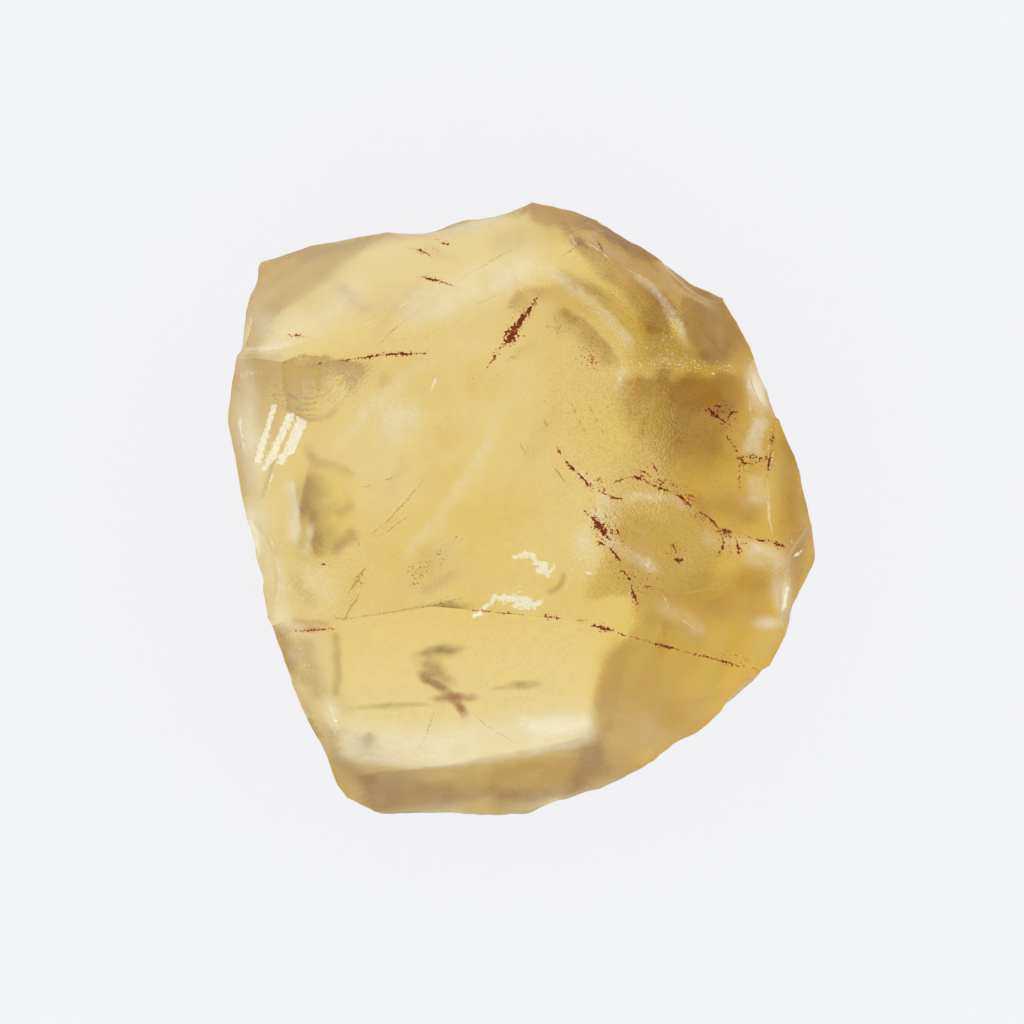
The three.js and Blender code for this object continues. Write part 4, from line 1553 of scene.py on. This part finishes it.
    def unevenness(self, points: Array, grain: Array, weight: Array) -> Array:
        """Height of the fine relief.

        It is noise times each face's grain. The broad faces also have streaks, which are noise
        stretched along one heading, and slow waves. The sides and undersides have level bands,
        which are noise squeezed in height.

        Args:
            points: the skin's corners.
            grain: how uneven each is.
            weight: each cut's share in each.

        Returns:
            A height for each.
        """
        noise = Noise.GRAIN.cloud(points + 50.0, self.grain_pitch, self.grain_layers)
        rough = noise * grain * self.grain_gain
        angle = np.radians(self.streak_heading)
        along = points[:, 0] * np.cos(angle) + points[:, 1] * np.sin(angle)
        across = -points[:, 0] * np.sin(angle) + points[:, 1] * np.cos(angle)
        rows = [along / self.streak_stretch, across, points[:, 2] * self.streak_rise]
        stretched = np.stack(rows, axis=1) + 40.0
        streaks = Noise.STREAKS.cloud(stretched, self.streak_pitch) * self.streak_height
        waves = Noise.WAVES.at(points + 60.0, self.wave_pitch) * self.wave_height
        names = ("broad_left", "broad_right")
        broad = sum(weight[self.shape.number(name)] for name in names)
        level = points * np.array([self.band_squeeze, self.band_squeeze, 1.0]) + 90.0
        bands = Noise.BANDS.cloud(level, self.band_pitch, 2) * self.band_height
        steep = sum(
            weight[row]
            for row, name in enumerate(self.shape.cuts)
            if name.startswith(("side_", "under_")) and name != "under_base"
        )
        return rough + (streaks + waves) * broad + bands * steep

    def roughness(self, points: Array, frost: Array, etch: Array) -> Array:
        """Roughness: the polished value plus frost and etching, both mottled by noise."""
        mottle = Noise.FROST.cloud(points + 20.0, self.mottle_pitch, 2)
        spread = (frost * (1 + 0.5 * mottle) + 0.2 * etch) * self.matt
        return np.clip(self.smooth + spread, 0.0, self.roughest)

    def stain(self, points: Array, weight: Array, facing: Array) -> Array:
        """How far the skin is stained golden: the sides, the undersides and places on top.

        Args:
            points: the skin's corners.
            weight: each cut's share in each.
            facing: 1 where the skin looks up.

        Returns:
            A strength for each.
        """
        strength = [
            self.side_stain if name.startswith(("side_", "ledge_"))
            else self.under_stain if name.startswith("under_") and name != "under_base"
            else 0.0
            for name in self.shape.cuts
        ]
        top = laid_over(golden_places(), points) * facing
        return np.clip(np.array(strength) @ weight + top, 0.0, 1.0)

    def ripples(self, points: Array, inside: Array) -> Array:
        """Strength of the shell ripples: a crescent below their middle, where they come and go."""
        away = points[:, :2] - np.array(self.ripple_eye[:2])
        radius = np.hypot(away[:, 0], away[:, 1])
        first, last = self.ripple_span
        crescent = ease(radius, first, first + 0.5) * (1 - ease(radius, last - 0.4, last))
        patchy = ease(Noise.RIPPLES.at(points + 30.0, 1.1), -0.5, 0.3)
        return inside * patchy * crescent * ease(-away[:, 1], 0.6, 1.6)

    def tones(self, points: Array, weight: Array, facing: Array) -> dict[str, Array]:
        """How far painted shade darkens the skin and how milky it is, partly as painted light,
        from strokes, patches and noise.

        Args:
            points: the skin's corners.
            weight: each cut's share in each.
            facing: 1 where the skin looks up.

        Returns:
            The numbers by name.
        """
        broad = sum(weight[self.shape.number(name)] for name in ("broad_left", "broad_right"))
        cloud = Noise.CLOUD.cloud(points + 70.0, self.cloud_pitch, 3)
        fine = Noise.FINE.cloud(points + 80.0, self.fine_pitch, 2)
        # painted shade: dark gold bands where the stone turns light away
        shade = laid_over(shady_strokes(), points) * (0.92 + 0.2 * fine)
        # haze: crushed, milky places that also lighten the skin as painted light
        milk_and_painted_light = laid_over(hazy_and_painted_light_places(), points) * np.clip(0.75 + 1.4 * cloud, 0.15, 1.5)
        milk_and_painted_light = milk_and_painted_light + laid_over(milky_and_painted_light_strokes(), points) * (0.8 + 0.4 * fine)
        # haze and painted sheen: the upper left made lighter
        upper_left_haze_and_sheen = ease(points[:, 1] - points[:, 0], 4.0, 16.0) * self.corner_haze_and_sheen
        thin = self.broad_haze + self.cloud_haze * cloud + self.fine_haze * fine
        milk_and_painted_light = milk_and_painted_light + broad * thin + upper_left_haze_and_sheen
        # a random darker tone on the broad faces
        shade = shade + broad * np.clip(-0.1 * cloud - 0.02 * fine, 0.0, 0.12)
        painted_shade = np.clip(shade * self.shade_gain, 0.0, 1.0) * facing
        return {"shade": painted_shade, "haze_and_painted_light": np.clip(milk_and_painted_light, 0.0, 1.0) * facing}

    def marks(self, points: Array, values: Array, facing: Array) -> dict[str, Array]:
        """The numbers that place cracks, specks and bloom.

        Args:
            points: the skin's corners.
            values: how far they are beyond each cut.
            facing: 1 where the skin looks up.

        Returns:
            The numbers by name.
        """
        named = {}
        groups = {
            "rust": (rusty_cracks(), rusty_edges(), []),
            "pale": (pale_cracks_and_highlights(), pale_edges_and_highlights(), []),
            "painted_glints": (painted_glint_breaks(), [], painted_glint_plates()),
            "fine": (fine_lines(), fine_edges(), []),
        }
        for name, (cracks, edges, plates) in groups.items():
            aside, half = CrackField(cracks).over(points)
            lines = [line.over(self.shape, points, values) for line in edges]
            flakes = [plate.over(points) for plate in plates]
            for other_aside, other_half in lines + flakes:
                closer = (np.abs(other_aside) < np.abs(aside)) & (other_half > 0)
                aside = np.where(closer, other_aside, aside)
                half = np.where(closer, other_half, half)
            named[f"{name}_aside"] = aside
            named[f"{name}_half"] = half * facing
        soft = {
            "brown": brown_places(),
            "specks": rusty_specks(),
            "dark_dots": dark_specks(),
            "flecks": pale_flecks(),
        }
        for name, patches in soft.items():
            named[name] = laid_over(patches, points) * facing
        bloom = Noise.BLOOM.cloud(points + 80.0, self.bloom_pitch, 2)
        named["brown"] *= 0.7 + 0.6 * bloom
        return named


def mesh_piece(name: str, points: Array, triangles: Array) -> bpy.types.Object:
    """Put a triangle mesh, given in millimetres, into the scene in metres.

    Args:
        name: the piece's name.
        points: an (n, 3) array.
        triangles: an (m, 3) array of point numbers.

    Returns:
        The new object, at the origin.
    """
    mesh = bpy.data.meshes.new(name)
    mesh.vertices.add(len(points))
    mesh.vertices.foreach_set("co", (points * MM).astype(np.float32).ravel())
    mesh.loops.add(triangles.size)
    mesh.loops.foreach_set("vertex_index", triangles.astype(np.int32).ravel())
    mesh.polygons.add(len(triangles))
    mesh.polygons.foreach_set("loop_start", np.arange(0, triangles.size, 3, dtype=np.int32))
    mesh.update(calc_edges=True)
    mesh.polygons.foreach_set("use_smooth", np.ones(len(triangles), dtype=bool))
    mesh.validate()
    piece = bpy.data.objects.new(name, mesh)
    bpy.context.collection.objects.link(piece)
    return piece


def point_values(piece: bpy.types.Object, name: str, values: Array) -> None:
    """Store one number a corner on a piece, for its material to read."""
    attribute = piece.data.attributes.new(name, "FLOAT", "POINT")
    attribute.data.foreach_set("value", values.astype(np.float32))


# ---- Shader maths ----


class Wire:
    """A shader socket that can be reckoned with like a number."""

    def __init__(self, graph: Graph, socket: bpy.types.NodeSocket | None) -> None:
        """Wrap an output socket of a node in a graph."""
        self.graph = graph
        self.socket = socket

    def __add__(self, other: Wire | float) -> Wire:
        """Sum."""
        return self.graph.math("ADD", self, other)

    def __sub__(self, other: Wire | float) -> Wire:
        """Difference."""
        return self.graph.math("SUBTRACT", self, other)

    def __mul__(self, other: Wire | float) -> Wire:
        """Product."""
        return self.graph.math("MULTIPLY", self, other)

    def __truediv__(self, other: Wire | float) -> Wire:
        """Quotient."""
        return self.graph.math("DIVIDE", self, other)

    def __rsub__(self, other: float) -> Wire:
        """A number less this."""
        return self.graph.math("SUBTRACT", other, self)

    def __rtruediv__(self, other: float) -> Wire:
        """A number over this."""
        return self.graph.math("DIVIDE", other, self)

    def __abs__(self) -> Wire:
        """Size without a sign."""
        return self.graph.math("ABSOLUTE", self)

    __radd__ = __add__
    __rmul__ = __mul__

    def sine(self) -> Wire:
        """Sine of an angle in radians."""
        return self.graph.math("SINE", self)

    def or_more(self, other: Wire | float) -> Wire:
        """The larger of this and another."""
        return self.graph.math("MAXIMUM", self, other)

    def ramp(self, start: float, end: float) -> Wire:
        """Smooth rise from 0 at start to 1 at end."""
        settings = {"interpolation_type": "SMOOTHSTEP"}
        inputs = {"Value": self, "From Min": start, "From Max": end}
        return self.graph.node("ShaderNodeMapRange", settings, inputs)

    def clamp(self) -> Wire:
        """Held between 0 and 1."""
        return self.graph.node("ShaderNodeClamp", {}, {"Value": self})


@dataclass
class Graph:
    """The node tree of one material, or of the sky."""

    tree: bpy.types.NodeTree

    @classmethod
    def of(cls, name: str) -> Graph:
        """A new material's empty tree."""
        material = bpy.data.materials.new(name)
        material.use_nodes = True
        material.node_tree.nodes.clear()
        return cls(material.node_tree)

    def node(
        self, kind: str, settings: dict[str, object] | None = None,
        inputs: dict[str | int, object] | None = None, output: str | int = 0,
    ) -> Wire:
        """Add a node.

        Args:
            kind: the node's type.
            settings: its own properties, set before its sockets.
            inputs: a value or a wire for each socket, by name or place.
            output: the name or place of the output that is returned.

        Returns:
            The chosen output; the wire of a node that has none is empty.
        """
        made = self.tree.nodes.new(kind)
        for key, value in (settings or {}).items():
            setattr(made, key, value)
        for key, value in (inputs or {}).items():
            if isinstance(value, Wire):
                self.tree.links.new(value.socket, made.inputs[key])
            else:
                made.inputs[key].default_value = value
        return Wire(self, made.outputs[output] if made.outputs else None)

    def math(self, operation: str, *values: Wire | float) -> Wire:
        """The result of a Math node."""
        return self.node("ShaderNodeMath", {"operation": operation}, dict(enumerate(values)))

    def noise(self, place: Wire, scale: float, detail: float = 3.0, rough: float = 0.5) -> Wire:
        """Cloudy noise from 0 to 1, with its scale in lumps a metre."""
        inputs = {"Vector": place, "Scale": scale, "Detail": detail, "Roughness": rough}
        return self.node("ShaderNodeTexNoise", {}, inputs)

    def place(self) -> Wire:
        """Object coordinates, in metres."""
        return self.node("ShaderNodeTexCoord", output="Object")

    def value(self, name: str) -> Wire:
        """A number stored on the mesh."""
        return self.node("ShaderNodeAttribute", {"attribute_name": name}, output="Fac")

    def mix_colour(self, factor: Wire, first: object, second: object, mode: str = "MIX") -> Wire:
        """One colour turning into another, or into its product with the other."""
        inputs = {0: factor, 6: first, 7: second}
        return self.node("ShaderNodeMix", {"data_type": "RGBA", "blend_type": mode}, inputs, 2)

    def principled(self, inputs: dict[str, object]) -> Wire:
        """A Principled shader."""
        return self.node("ShaderNodeBsdfPrincipled", {}, inputs)

    def blend(self, factor: Wire, first: Wire, second: Wire) -> Wire:
        """One shader turning into another."""
        return self.node("ShaderNodeMixShader", {}, {0: factor, 1: first, 2: second})

    def finish(self, surface: Wire, volume: Wire | None = None) -> None:
        """Connect the shaders to the material's output."""
        inputs = {"Surface": surface}
        if volume:
            inputs["Volume"] = volume
        self.node("ShaderNodeOutputMaterial", {}, inputs)


# ---- Finishes ----


@dataclass(frozen=True)
class Citrine:
    """Clear golden quartz: polished by the break on its faces, matt where it is frosted.

    Rust, haze, pale lines and painted glints lie on the surface, in places that the mesh carries,
    and painted shade darkens the crystal's tint; all but rust and the dark dots glow as painted
    light. Lengths that end in `_mm` are in millimetres, and pitches are lumps of noise a metre.
    """

    name: str = "citrine_crystal"
    index: float = 1.55
    density: float = 70.0
    depth_colour: Colour = (0.965, 0.8, 0.086, 1.0)
    rust_dark: Colour = (0.3, 0.016, 0.004, 1.0)
    rust_light: Colour = (0.85, 0.2, 0.03, 1.0)
    # painted shade: the dark gold that the shade strokes multiply into the crystal's tint
    shade_colour: Colour = (0.36, 0.2, 0.016, 1.0)
    # haze and pale lines: milky cream that also glows as painted light
    haze_and_painted_light_colour: Colour = (0.93, 0.86, 0.66, 1.0)
    # painted glints: the cream of highlights and reflections on breaks and flakes
    painted_glint_colour: Colour = (1.0, 0.93, 0.72, 1.0)
    dark_dot_colour: Colour = (0.16, 0.1, 0.03, 1.0)
    bloom_colour: Colour = (0.3, 0.08, 0.012, 1.0)
    stain_colour: Colour = (0.97, 0.86, 0.2, 1.0)
    crumble_pitch: float = 3400.0
    speck_pitch: float = 7000.0
    ripple_eye_mm: Place = RIPPLE_EYE_MM
    ripple_pitch_mm: float = 0.33
    ripple_height_mm: float = 0.016
    grain_height_mm: float = 0.028
    hair_cover: float = 0.75
    curl_cover: float = 0.35
    pale_and_highlight_cover: float = 0.42
    fleck_cover: float = 0.5
    painted_glint_cover: float = 0.85
    dark_dot_cover: float = 0.6
    rust_cover: float = 0.95
    rust_low: float = 0.32
    rust_gain: float = 5.5
    # painted light: the haze, pale lines, flecks and glints glow by this much in their own colour
    glow: float = 0.4

    @staticmethod
    def crack(
        graph: Graph, name: str, crumble: Wire, low: float = 0.17, gain: float = 3.0, soft: float = 0.03
    ) -> Wire:
        """1 inside the cracks of one group, with an edge that crumbles with the noise.

        Args:
            graph: the material's nodes.
            name: the group.
            crumble: the noise.
            low: the noise below which the crack is gone.
            gain: how fast it widens above that.
            soft: how far its edge fades, in millimetres.

        Returns:
            A cover from 0 to 1.
        """
        half = graph.value(f"{name}_half")
        aside = abs(graph.value(f"{name}_aside"))
        depth = half * ((crumble - low) * gain) - aside
        return depth.ramp(-0.01, soft) * half.ramp(0.003, 0.02)

    @staticmethod
    def spray(graph: Graph, name: str, speck: Wire) -> Wire:
        """Loose specks beside the cracks of one group, rarer the further they lie."""
        half = graph.value(f"{name}_half")
        aside = abs(graph.value(f"{name}_aside"))
        near = 1.0 - aside / (half * 3.0 + 0.06)
        return (speck + near * 0.17 - 0.665).ramp(0.0, 0.03) * near.ramp(0.0, 0.3)

    @staticmethod
    def dots(graph: Graph, name: str, speck: Wire) -> Wire:
        """Small dots, as dense as the patch is strong."""
        return (speck + graph.value(name) * 0.22 - 0.8).ramp(0.0, 0.04)

    def relief(self, graph: Graph, place: Wire, crumble: Wire) -> Wire:
        """Normal of the finest relief: curly etched grain and the ripples of the round chip.

        Args:
            graph: the material's nodes.
            place: object coordinates.
            crumble: the noise that gives the grain.

        Returns:
            The normal.
        """
        kind = "ShaderNodeVectorMath"
        scaled = graph.node(kind, {"operation": "SCALE"}, {0: place, "Scale": 1.0 / MM})
        ends = {0: scaled, 1: self.ripple_eye_mm}
        away = graph.node(kind, {"operation": "DISTANCE"}, ends, "Value")
        ripple = (away * (2 * np.pi / self.ripple_pitch_mm)).sine()
        curly = abs(crumble - 0.5)
        height = curly * (graph.value("grain") * self.grain_height_mm * 2)
        height = height + ripple * graph.value("ripple") * self.ripple_height_mm
        inputs = {"Height": height, "Distance": MM, "Strength": 1.0}
        return graph.node("ShaderNodeBump", {}, inputs)

    def crystal(self, graph: Graph, crumble: Wire, speck: Wire, normal: Wire) -> Wire:
        """The clear crystal, tinted by the stain, the painted shade, the bloom and the finest lines.

        Args:
            graph: the material's nodes.
            crumble: the coarse noise.
            speck: the fine noise.
            normal: the finest relief.

        Returns:
            The shader.
        """
        hair = self.crack(graph, "fine", speck, 0.3, 5.0) * self.hair_cover
        curls = (0.05 - abs(crumble - 0.5)).ramp(0.0, 0.04) * graph.value("grain")
        # painted shade from the strokes, with the hair lines and curly grain, darkens the tint
        painted_shade_and_lines = graph.value("shade").or_more(hair) + curls * self.curl_cover
        clear = graph.mix_colour(graph.value("stain"), (1.0, 1.0, 1.0, 1.0), self.stain_colour)
        tint = graph.mix_colour(painted_shade_and_lines, clear, self.shade_colour, "MULTIPLY")
        inputs = {
            "Base Color": graph.mix_colour(graph.value("brown"), tint, self.bloom_colour),
            "Roughness": graph.value("rough"),
            "IOR": self.index,
            "Transmission Weight": 1.0,
            "Normal": normal,
        }
        return graph.principled(inputs)

    def marks(self, graph: Graph, crumble: Wire, speck: Wire, normal: Wire) -> tuple[Wire, Wire]:
        """The opaque finish of all on the crystal; but for rust and dark dots it glows as painted light.

        Args:
            graph: the material's nodes.
            crumble: the coarse noise.
            speck: the fine noise.
            normal: the finest relief.

        Returns:
            The shader, and how far it covers the crystal.
        """
        # haze: milky places, lit further as painted light
        mottled = graph.value("haze_and_painted_light") * ((crumble.ramp(0.3, 0.7) - 0.5) * graph.value("grain") + 1.0)
        # pale lines of crushed quartz and painted highlights join the haze
        haze_and_painted_light = mottled + self.crack(graph, "pale", crumble, soft=0.1) * self.pale_and_highlight_cover
        mottle = speck.ramp(0.3, 0.6) * 0.3 + 0.7
        # painted glints: highlights and reflections on curls, flakes and plates
        painted_glints = self.crack(graph, "painted_glints", crumble, soft=0.14) * mottle
        # flecks of crushed quartz join the painted glints, in their cream and glow
        painted_glints = painted_glints.or_more(self.dots(graph, "flecks", speck) * self.fleck_cover)
        dark_dots = self.dots(graph, "dark_dots", 1.0 - speck)
        specks = self.dots(graph, "specks", speck)
        core = self.crack(graph, "rust", crumble * 0.4 + speck * 0.6, self.rust_low, self.rust_gain)
        rust = core.or_more(self.spray(graph, "rust", speck)).or_more(specks)
        deep = core * crumble.ramp(0.25, 0.5)
        colour = graph.mix_colour(painted_glints, self.haze_and_painted_light_colour, self.painted_glint_colour)
        colour = graph.mix_colour(dark_dots, colour, self.dark_dot_colour)
        rusty = graph.mix_colour(deep, self.rust_light, self.rust_dark)
        colour = graph.mix_colour(rust, colour, rusty)
        dark = rust.or_more(dark_dots)
        inputs = {
            "Base Color": colour,
            "Roughness": 0.6,
            "Specular IOR Level": 0.08,
            # painted light: all but rust and the dark dots glow in their own colour
            "Emission Color": graph.mix_colour(dark, colour, (0.0, 0.0, 0.0, 1.0)),
            "Emission Strength": self.glow,
            "Normal": normal,
        }
        cover = haze_and_painted_light.or_more(painted_glints * self.painted_glint_cover)
        cover = cover.or_more(dark_dots * self.dark_dot_cover)
        cover = cover.or_more(rust * self.rust_cover).clamp()
        return graph.principled(inputs), cover

    def material(self) -> bpy.types.Material:
        """Build the material: clear crystal, with one opaque finish for all that lies on it."""
        graph = Graph.of(self.name)
        place = graph.place()
        crumble = graph.noise(place, self.crumble_pitch, 2.0)
        speck = graph.noise(place, self.speck_pitch, 1.0)
        normal = self.relief(graph, place, crumble)
        crystal = self.crystal(graph, crumble, speck, normal)
        marks, cover = self.marks(graph, crumble, speck, normal)
        inputs = {"Color": self.depth_colour, "Density": self.density}
        inside = graph.node("ShaderNodeVolumeAbsorption", {}, inputs)
        graph.finish(graph.blend(cover, crystal, marks), inside)
        return bpy.data.materials[self.name]


class VeilColour(Enum):
    """What a veil inside the stone is made of, with its linear colour."""

    RUST = (0.7, 0.22, 0.04)
    BROWN = (0.6, 0.38, 0.08)
    # soot-like smudges, partly dark sheets put where there is only shade: painted shade
    SOOT_AND_SHADE = (0.42, 0.33, 0.06)


@dataclass(frozen=True)
class VeilFinish:
    """A thin cloud of specks inside the stone, dense in the middle and gone at the rim."""

    colour: VeilColour
    most: float = 0.8
    pitch: float = 900.0

    def material(self) -> bpy.types.Material:
        """Build the material; its Alpha follows the veil's own fade and noise."""
        name = f"veil_{self.colour.name.lower()}"
        graph = Graph.of(name)
        cloud = graph.noise(graph.place(), self.pitch, 3.0, 0.55)
        fade = graph.value("fade")
        alpha = (fade * fade * (cloud * 2.2 - 0.3)).clamp() * self.most
        inputs = {
            "Base Color": (*self.colour.value, 1.0),
            "Roughness": 0.8,
            "Specular IOR Level": 0.0,
            "Alpha": alpha,
        }
        graph.finish(graph.principled(inputs))
        return bpy.data.materials[name]


# ---- Pieces ----


@dataclass
class Stone:
    """The citrine itself."""

    name: str = "citrine_stone"
    finish: Citrine = field(default_factory=Citrine)

    def build(self, skin: Skin) -> bpy.types.Object:
        """Make the stone's piece, fix it to the body and hide the part from model.glb that it stands in
        for.
        """
        piece = mesh_piece(self.name, skin.points, skin.triangles)
        for name, values in skin.values.items():
            point_values(piece, name, values)
        lean = skin.lean.reshape(-1, 3)
        piece.data.normals_split_custom_set(lean.tolist())
        piece.data.materials.append(self.finish.material())
        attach(piece, BODY)
        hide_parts(SLOT)
        return piece


@dataclass(frozen=True)
class Veil:
    """A thin bent lens of specks inside the stone, in millimetres.

    It lies across `heading` and `tilt`, like a face, with `long` and `wide` its half sizes,
    `turn` its turn in its own plane and `bend` its bulge in 1/mm.
    """

    middle: Place
    long: float
    wide: float
    heading: float = 0.0
    tilt: float = 90.0
    turn: float = 0.0
    bend: float = 0.03

    def shell(self, rings: int, spokes: int, thick: float) -> tuple[Array, Array, Array]:
        """A closed lens.

        At radius r and angle a, with r from 0 to 1, the foot is (long r cos a, wide r sin a), the
        rim wanders with noise, and the height is the bend times the foot's squared length over
        two, plus or minus the thickness times 1 - r^2.

        Args:
            rings: rings from the middle to the rim.
            spokes: points on each ring.
            thick: half its thickness in the middle.

        Returns:
            Points, triangles turning outwards, and the fade of each point: 1 - r^2.
        """
        across, up, out = Fracture(self.middle, self.heading, self.tilt).axes()
        radius = np.linspace(0.0, 1.0, rings + 1)[1:]
        angle = np.linspace(0.0, 2 * np.pi, spokes, endpoint=False)
        r, a = np.meshgrid(radius, angle, indexing="ij")
        ring = np.stack([np.cos(a), np.sin(a), np.full_like(a, self.middle[0])], -1).reshape(-1, 3)
        wander = 1 + 0.3 * Noise.VEIL_RIM.cloud(ring * 1.3 + 9.0, 1.0, 2).reshape(r.shape)
        u, v = self.long * r * wander * np.cos(a), self.wide * r * wander * np.sin(a)
        bulge = self.bend * (u * u + v * v) / 2
        skinny = thick * (1 - r * r)
        t = np.radians(self.turn)
        x, y = u * np.cos(t) - v * np.sin(t), u * np.sin(t) + v * np.cos(t)
        halves = []
        for height in (bulge + skinny, bulge - skinny):
            place = x[..., None] * across + y[..., None] * up + height[..., None] * out
            halves.append(place.reshape(-1, 3))
        tip = np.array([out * thick, -out * thick])
        points = np.concatenate([tip, halves[0], halves[1][:-spokes]]) + np.array(self.middle)
        fade = np.concatenate([[1.0, 1.0], (1 - r * r).ravel(), (1 - r * r)[:-1].ravel()])
        return points, self.faces(rings, spokes), fade

    @staticmethod
    def faces(rings: int, spokes: int) -> Array:
        """Triangles of the closed lens; both halves share the outermost ring."""
        upper = 2 + np.arange(rings * spokes).reshape(rings, spokes)
        lower = 2 + rings * spokes + np.arange((rings - 1) * spokes).reshape(-1, spokes)
        lower = np.vstack([lower, upper[-1:]])
        parts = []
        for tip, rows, outward in ((0, upper, 1), (1, lower, -1)):
            turned = np.roll(rows, -1, axis=1)
            fan = np.stack([np.full(spokes, tip), rows[0], turned[0]], -1)
            first = np.stack([rows[:-1], rows[1:], turned[1:]], -1).reshape(-1, 3)
            second = np.stack([rows[:-1], turned[1:], turned[:-1]], -1).reshape(-1, 3)
            parts.append(np.concatenate([fan, first, second])[:, ::outward])
        return np.concatenate(parts)


@dataclass
class Veils:
    """All the veils of one colour, joined in one piece that rides with the stone."""

    colour: VeilColour
    veils: list[Veil]
    most: float = 0.8
    rings: int = 10
    spokes: int = 40
    thick: float = 0.03

    def build(self) -> bpy.types.Object:
        """Make the piece."""
        points, triangles, fades, count = [], [], [], 0
        for veil in self.veils:
            place, faces, fade = veil.shell(self.rings, self.spokes, self.thick)
            points.append(place)
            triangles.append(faces + count)
            fades.append(fade)
            count += len(place)
        name = f"veils_{self.colour.name.lower()}"
        piece = mesh_piece(name, np.concatenate(points), np.concatenate(triangles))
        point_values(piece, "fade", np.concatenate(fades))
        piece.data.materials.append(VeilFinish(self.colour, self.most).material())
        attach(piece, BODY)
        return piece


def inner_veils() -> list[Veils]:
    """The clouds inside the stone, by colour."""
    rust = [
        Veil((-6.0, -7.9, 11.0), 1.3, 0.6, -89, 60, -55),
        Veil((-4.4, -9.1, 9.8), 1.8, 0.6, -89, 60, 4),
        Veil((-4.0, -9.6, 9.0), 1.0, 0.5, -89, 60, -60),
        Veil((-5.0, -8.6, 10.4), 1.4, 0.5, -89, 60, -40),
    ]
    brown = [
        Veil((-0.2, -8.3, 10.4), 2.0, 0.5, -89, 60, 6),
        Veil((-5.2, -6.2, 12.6), 1.9, 0.8, -89, 60, 6),
        Veil((-10.2, -12.0, 8.6), 1.3, 0.7, -89, 60, 12),
        Veil((-5.6, -7.4, 11.4), 2.2, 1.2, -89, 60, -50),
    ]
    # dark sheets, partly smudges and partly painted shade; the two on the left stand in for the dark
    # cluster
    soot_and_shade = [
        Veil((-12.4, 0.6, 18.0), 2.4, 1.3, -166, 80, 12),
        Veil((-12.0, -1.8, 17.6), 1.8, 1.4, -166, 80, -12),
        Veil((-8.6, -9.6, 9.4), 3.4, 0.4, -89, 60, 1),
        Veil((-5.0, -6.1, 12.8), 1.5, 0.6, -89, 60, 6),
    ]
    return [
        Veils(VeilColour.RUST, rust, 0.55),
        Veils(VeilColour.BROWN, brown, 0.34),
        Veils(VeilColour.SOOT_AND_SHADE, soot_and_shade, 0.26),
    ]


@dataclass
class Studio:
    """Pale table, soft light and the camera above."""

    table_size: float = 3.0
    table_colour: Colour = (0.3, 0.3, 0.31, 1.0)
    table_light: Colour = (0.94, 0.955, 1.0, 1.0)
    glow: float = 0.785
    sky_tint: tuple[float, float, float] = (0.99, 1.0, 1.01)
    zenith: float = 0.4
    horizon: float = 0.95
    camera_at: Place = (-0.000683, -0.000124, 0.42)
    lens: float = 227.5

    def table(self) -> bpy.types.Object:
        """A pale table that shines a little by itself, as a light table does."""
        half = self.table_size / 2 / MM
        corners = np.array([[-half, -half, 0], [half, -half, 0], [half, half, 0], [-half, half, 0]])
        top = mesh_piece("table", corners, np.array([[0, 1, 2], [0, 2, 3]]))
        graph = Graph.of("pale_table")
        inputs = {
            "Base Color": self.table_colour,
            "Roughness": 0.8,
            "Emission Color": self.table_light,
            "Emission Strength": self.glow,
        }
        graph.finish(graph.principled(inputs))
        material = bpy.data.materials["pale_table"]
        material.cycles.emission_sampling = "NONE"
        top.data.materials.append(material)
        return top

    def sky_light(self) -> None:
        """A soft white sky, brighter towards the horizon than overhead."""
        world = bpy.data.worlds.new("soft_sky")
        world.use_nodes = True
        world.node_tree.nodes.clear()
        graph = Graph(world.node_tree)
        way = graph.node("ShaderNodeTexCoord", output="Generated")
        height = graph.node("ShaderNodeSeparateXYZ", {}, {0: way}, output="Z")
        overhead = (*(self.zenith * part for part in self.sky_tint), 1.0)
        level = (*(self.horizon * part for part in self.sky_tint), 1.0)
        colour = graph.mix_colour(height.ramp(0.0, 0.8), level, overhead)
        sky = graph.node("ShaderNodeBackground", {}, {"Color": colour})
        graph.node("ShaderNodeOutputWorld", {}, {"Surface": sky})
        world.cycles.sampling_method = "NONE"
        bpy.context.scene.world = world

    def camera(self) -> None:
        """A long lens that looks straight down."""
        data = bpy.data.cameras.new("camera")
        data.lens = self.lens
        data.sensor_width = 36.0
        data.clip_start, data.clip_end = 0.01, 20.0
        eye = bpy.data.objects.new("camera", data)
        eye.location = Vector(self.camera_at)
        bpy.context.collection.objects.link(eye)
        bpy.context.scene.camera = eye


def main() -> None:
    """Build the scene's pieces in order."""
    logging.basicConfig(level=logging.INFO, format="%(name)s: %(message)s")
    bpy.context.scene.view_settings.view_transform = "Standard"
    studio = Studio()
    studio.camera()
    studio.sky_light()
    studio.table()
    LOG.info("studio ready")
    skin = SkinMaker(StoneShape()).make()
    stone = Stone().build(skin)
    LOG.info("%s: %d triangles", stone.name, len(skin.triangles))
    for veils in inner_veils():
        piece = veils.build()
        LOG.info("%s: %d triangles", piece.name, len(piece.data.polygons))


if __name__ == "__main__":
    main()
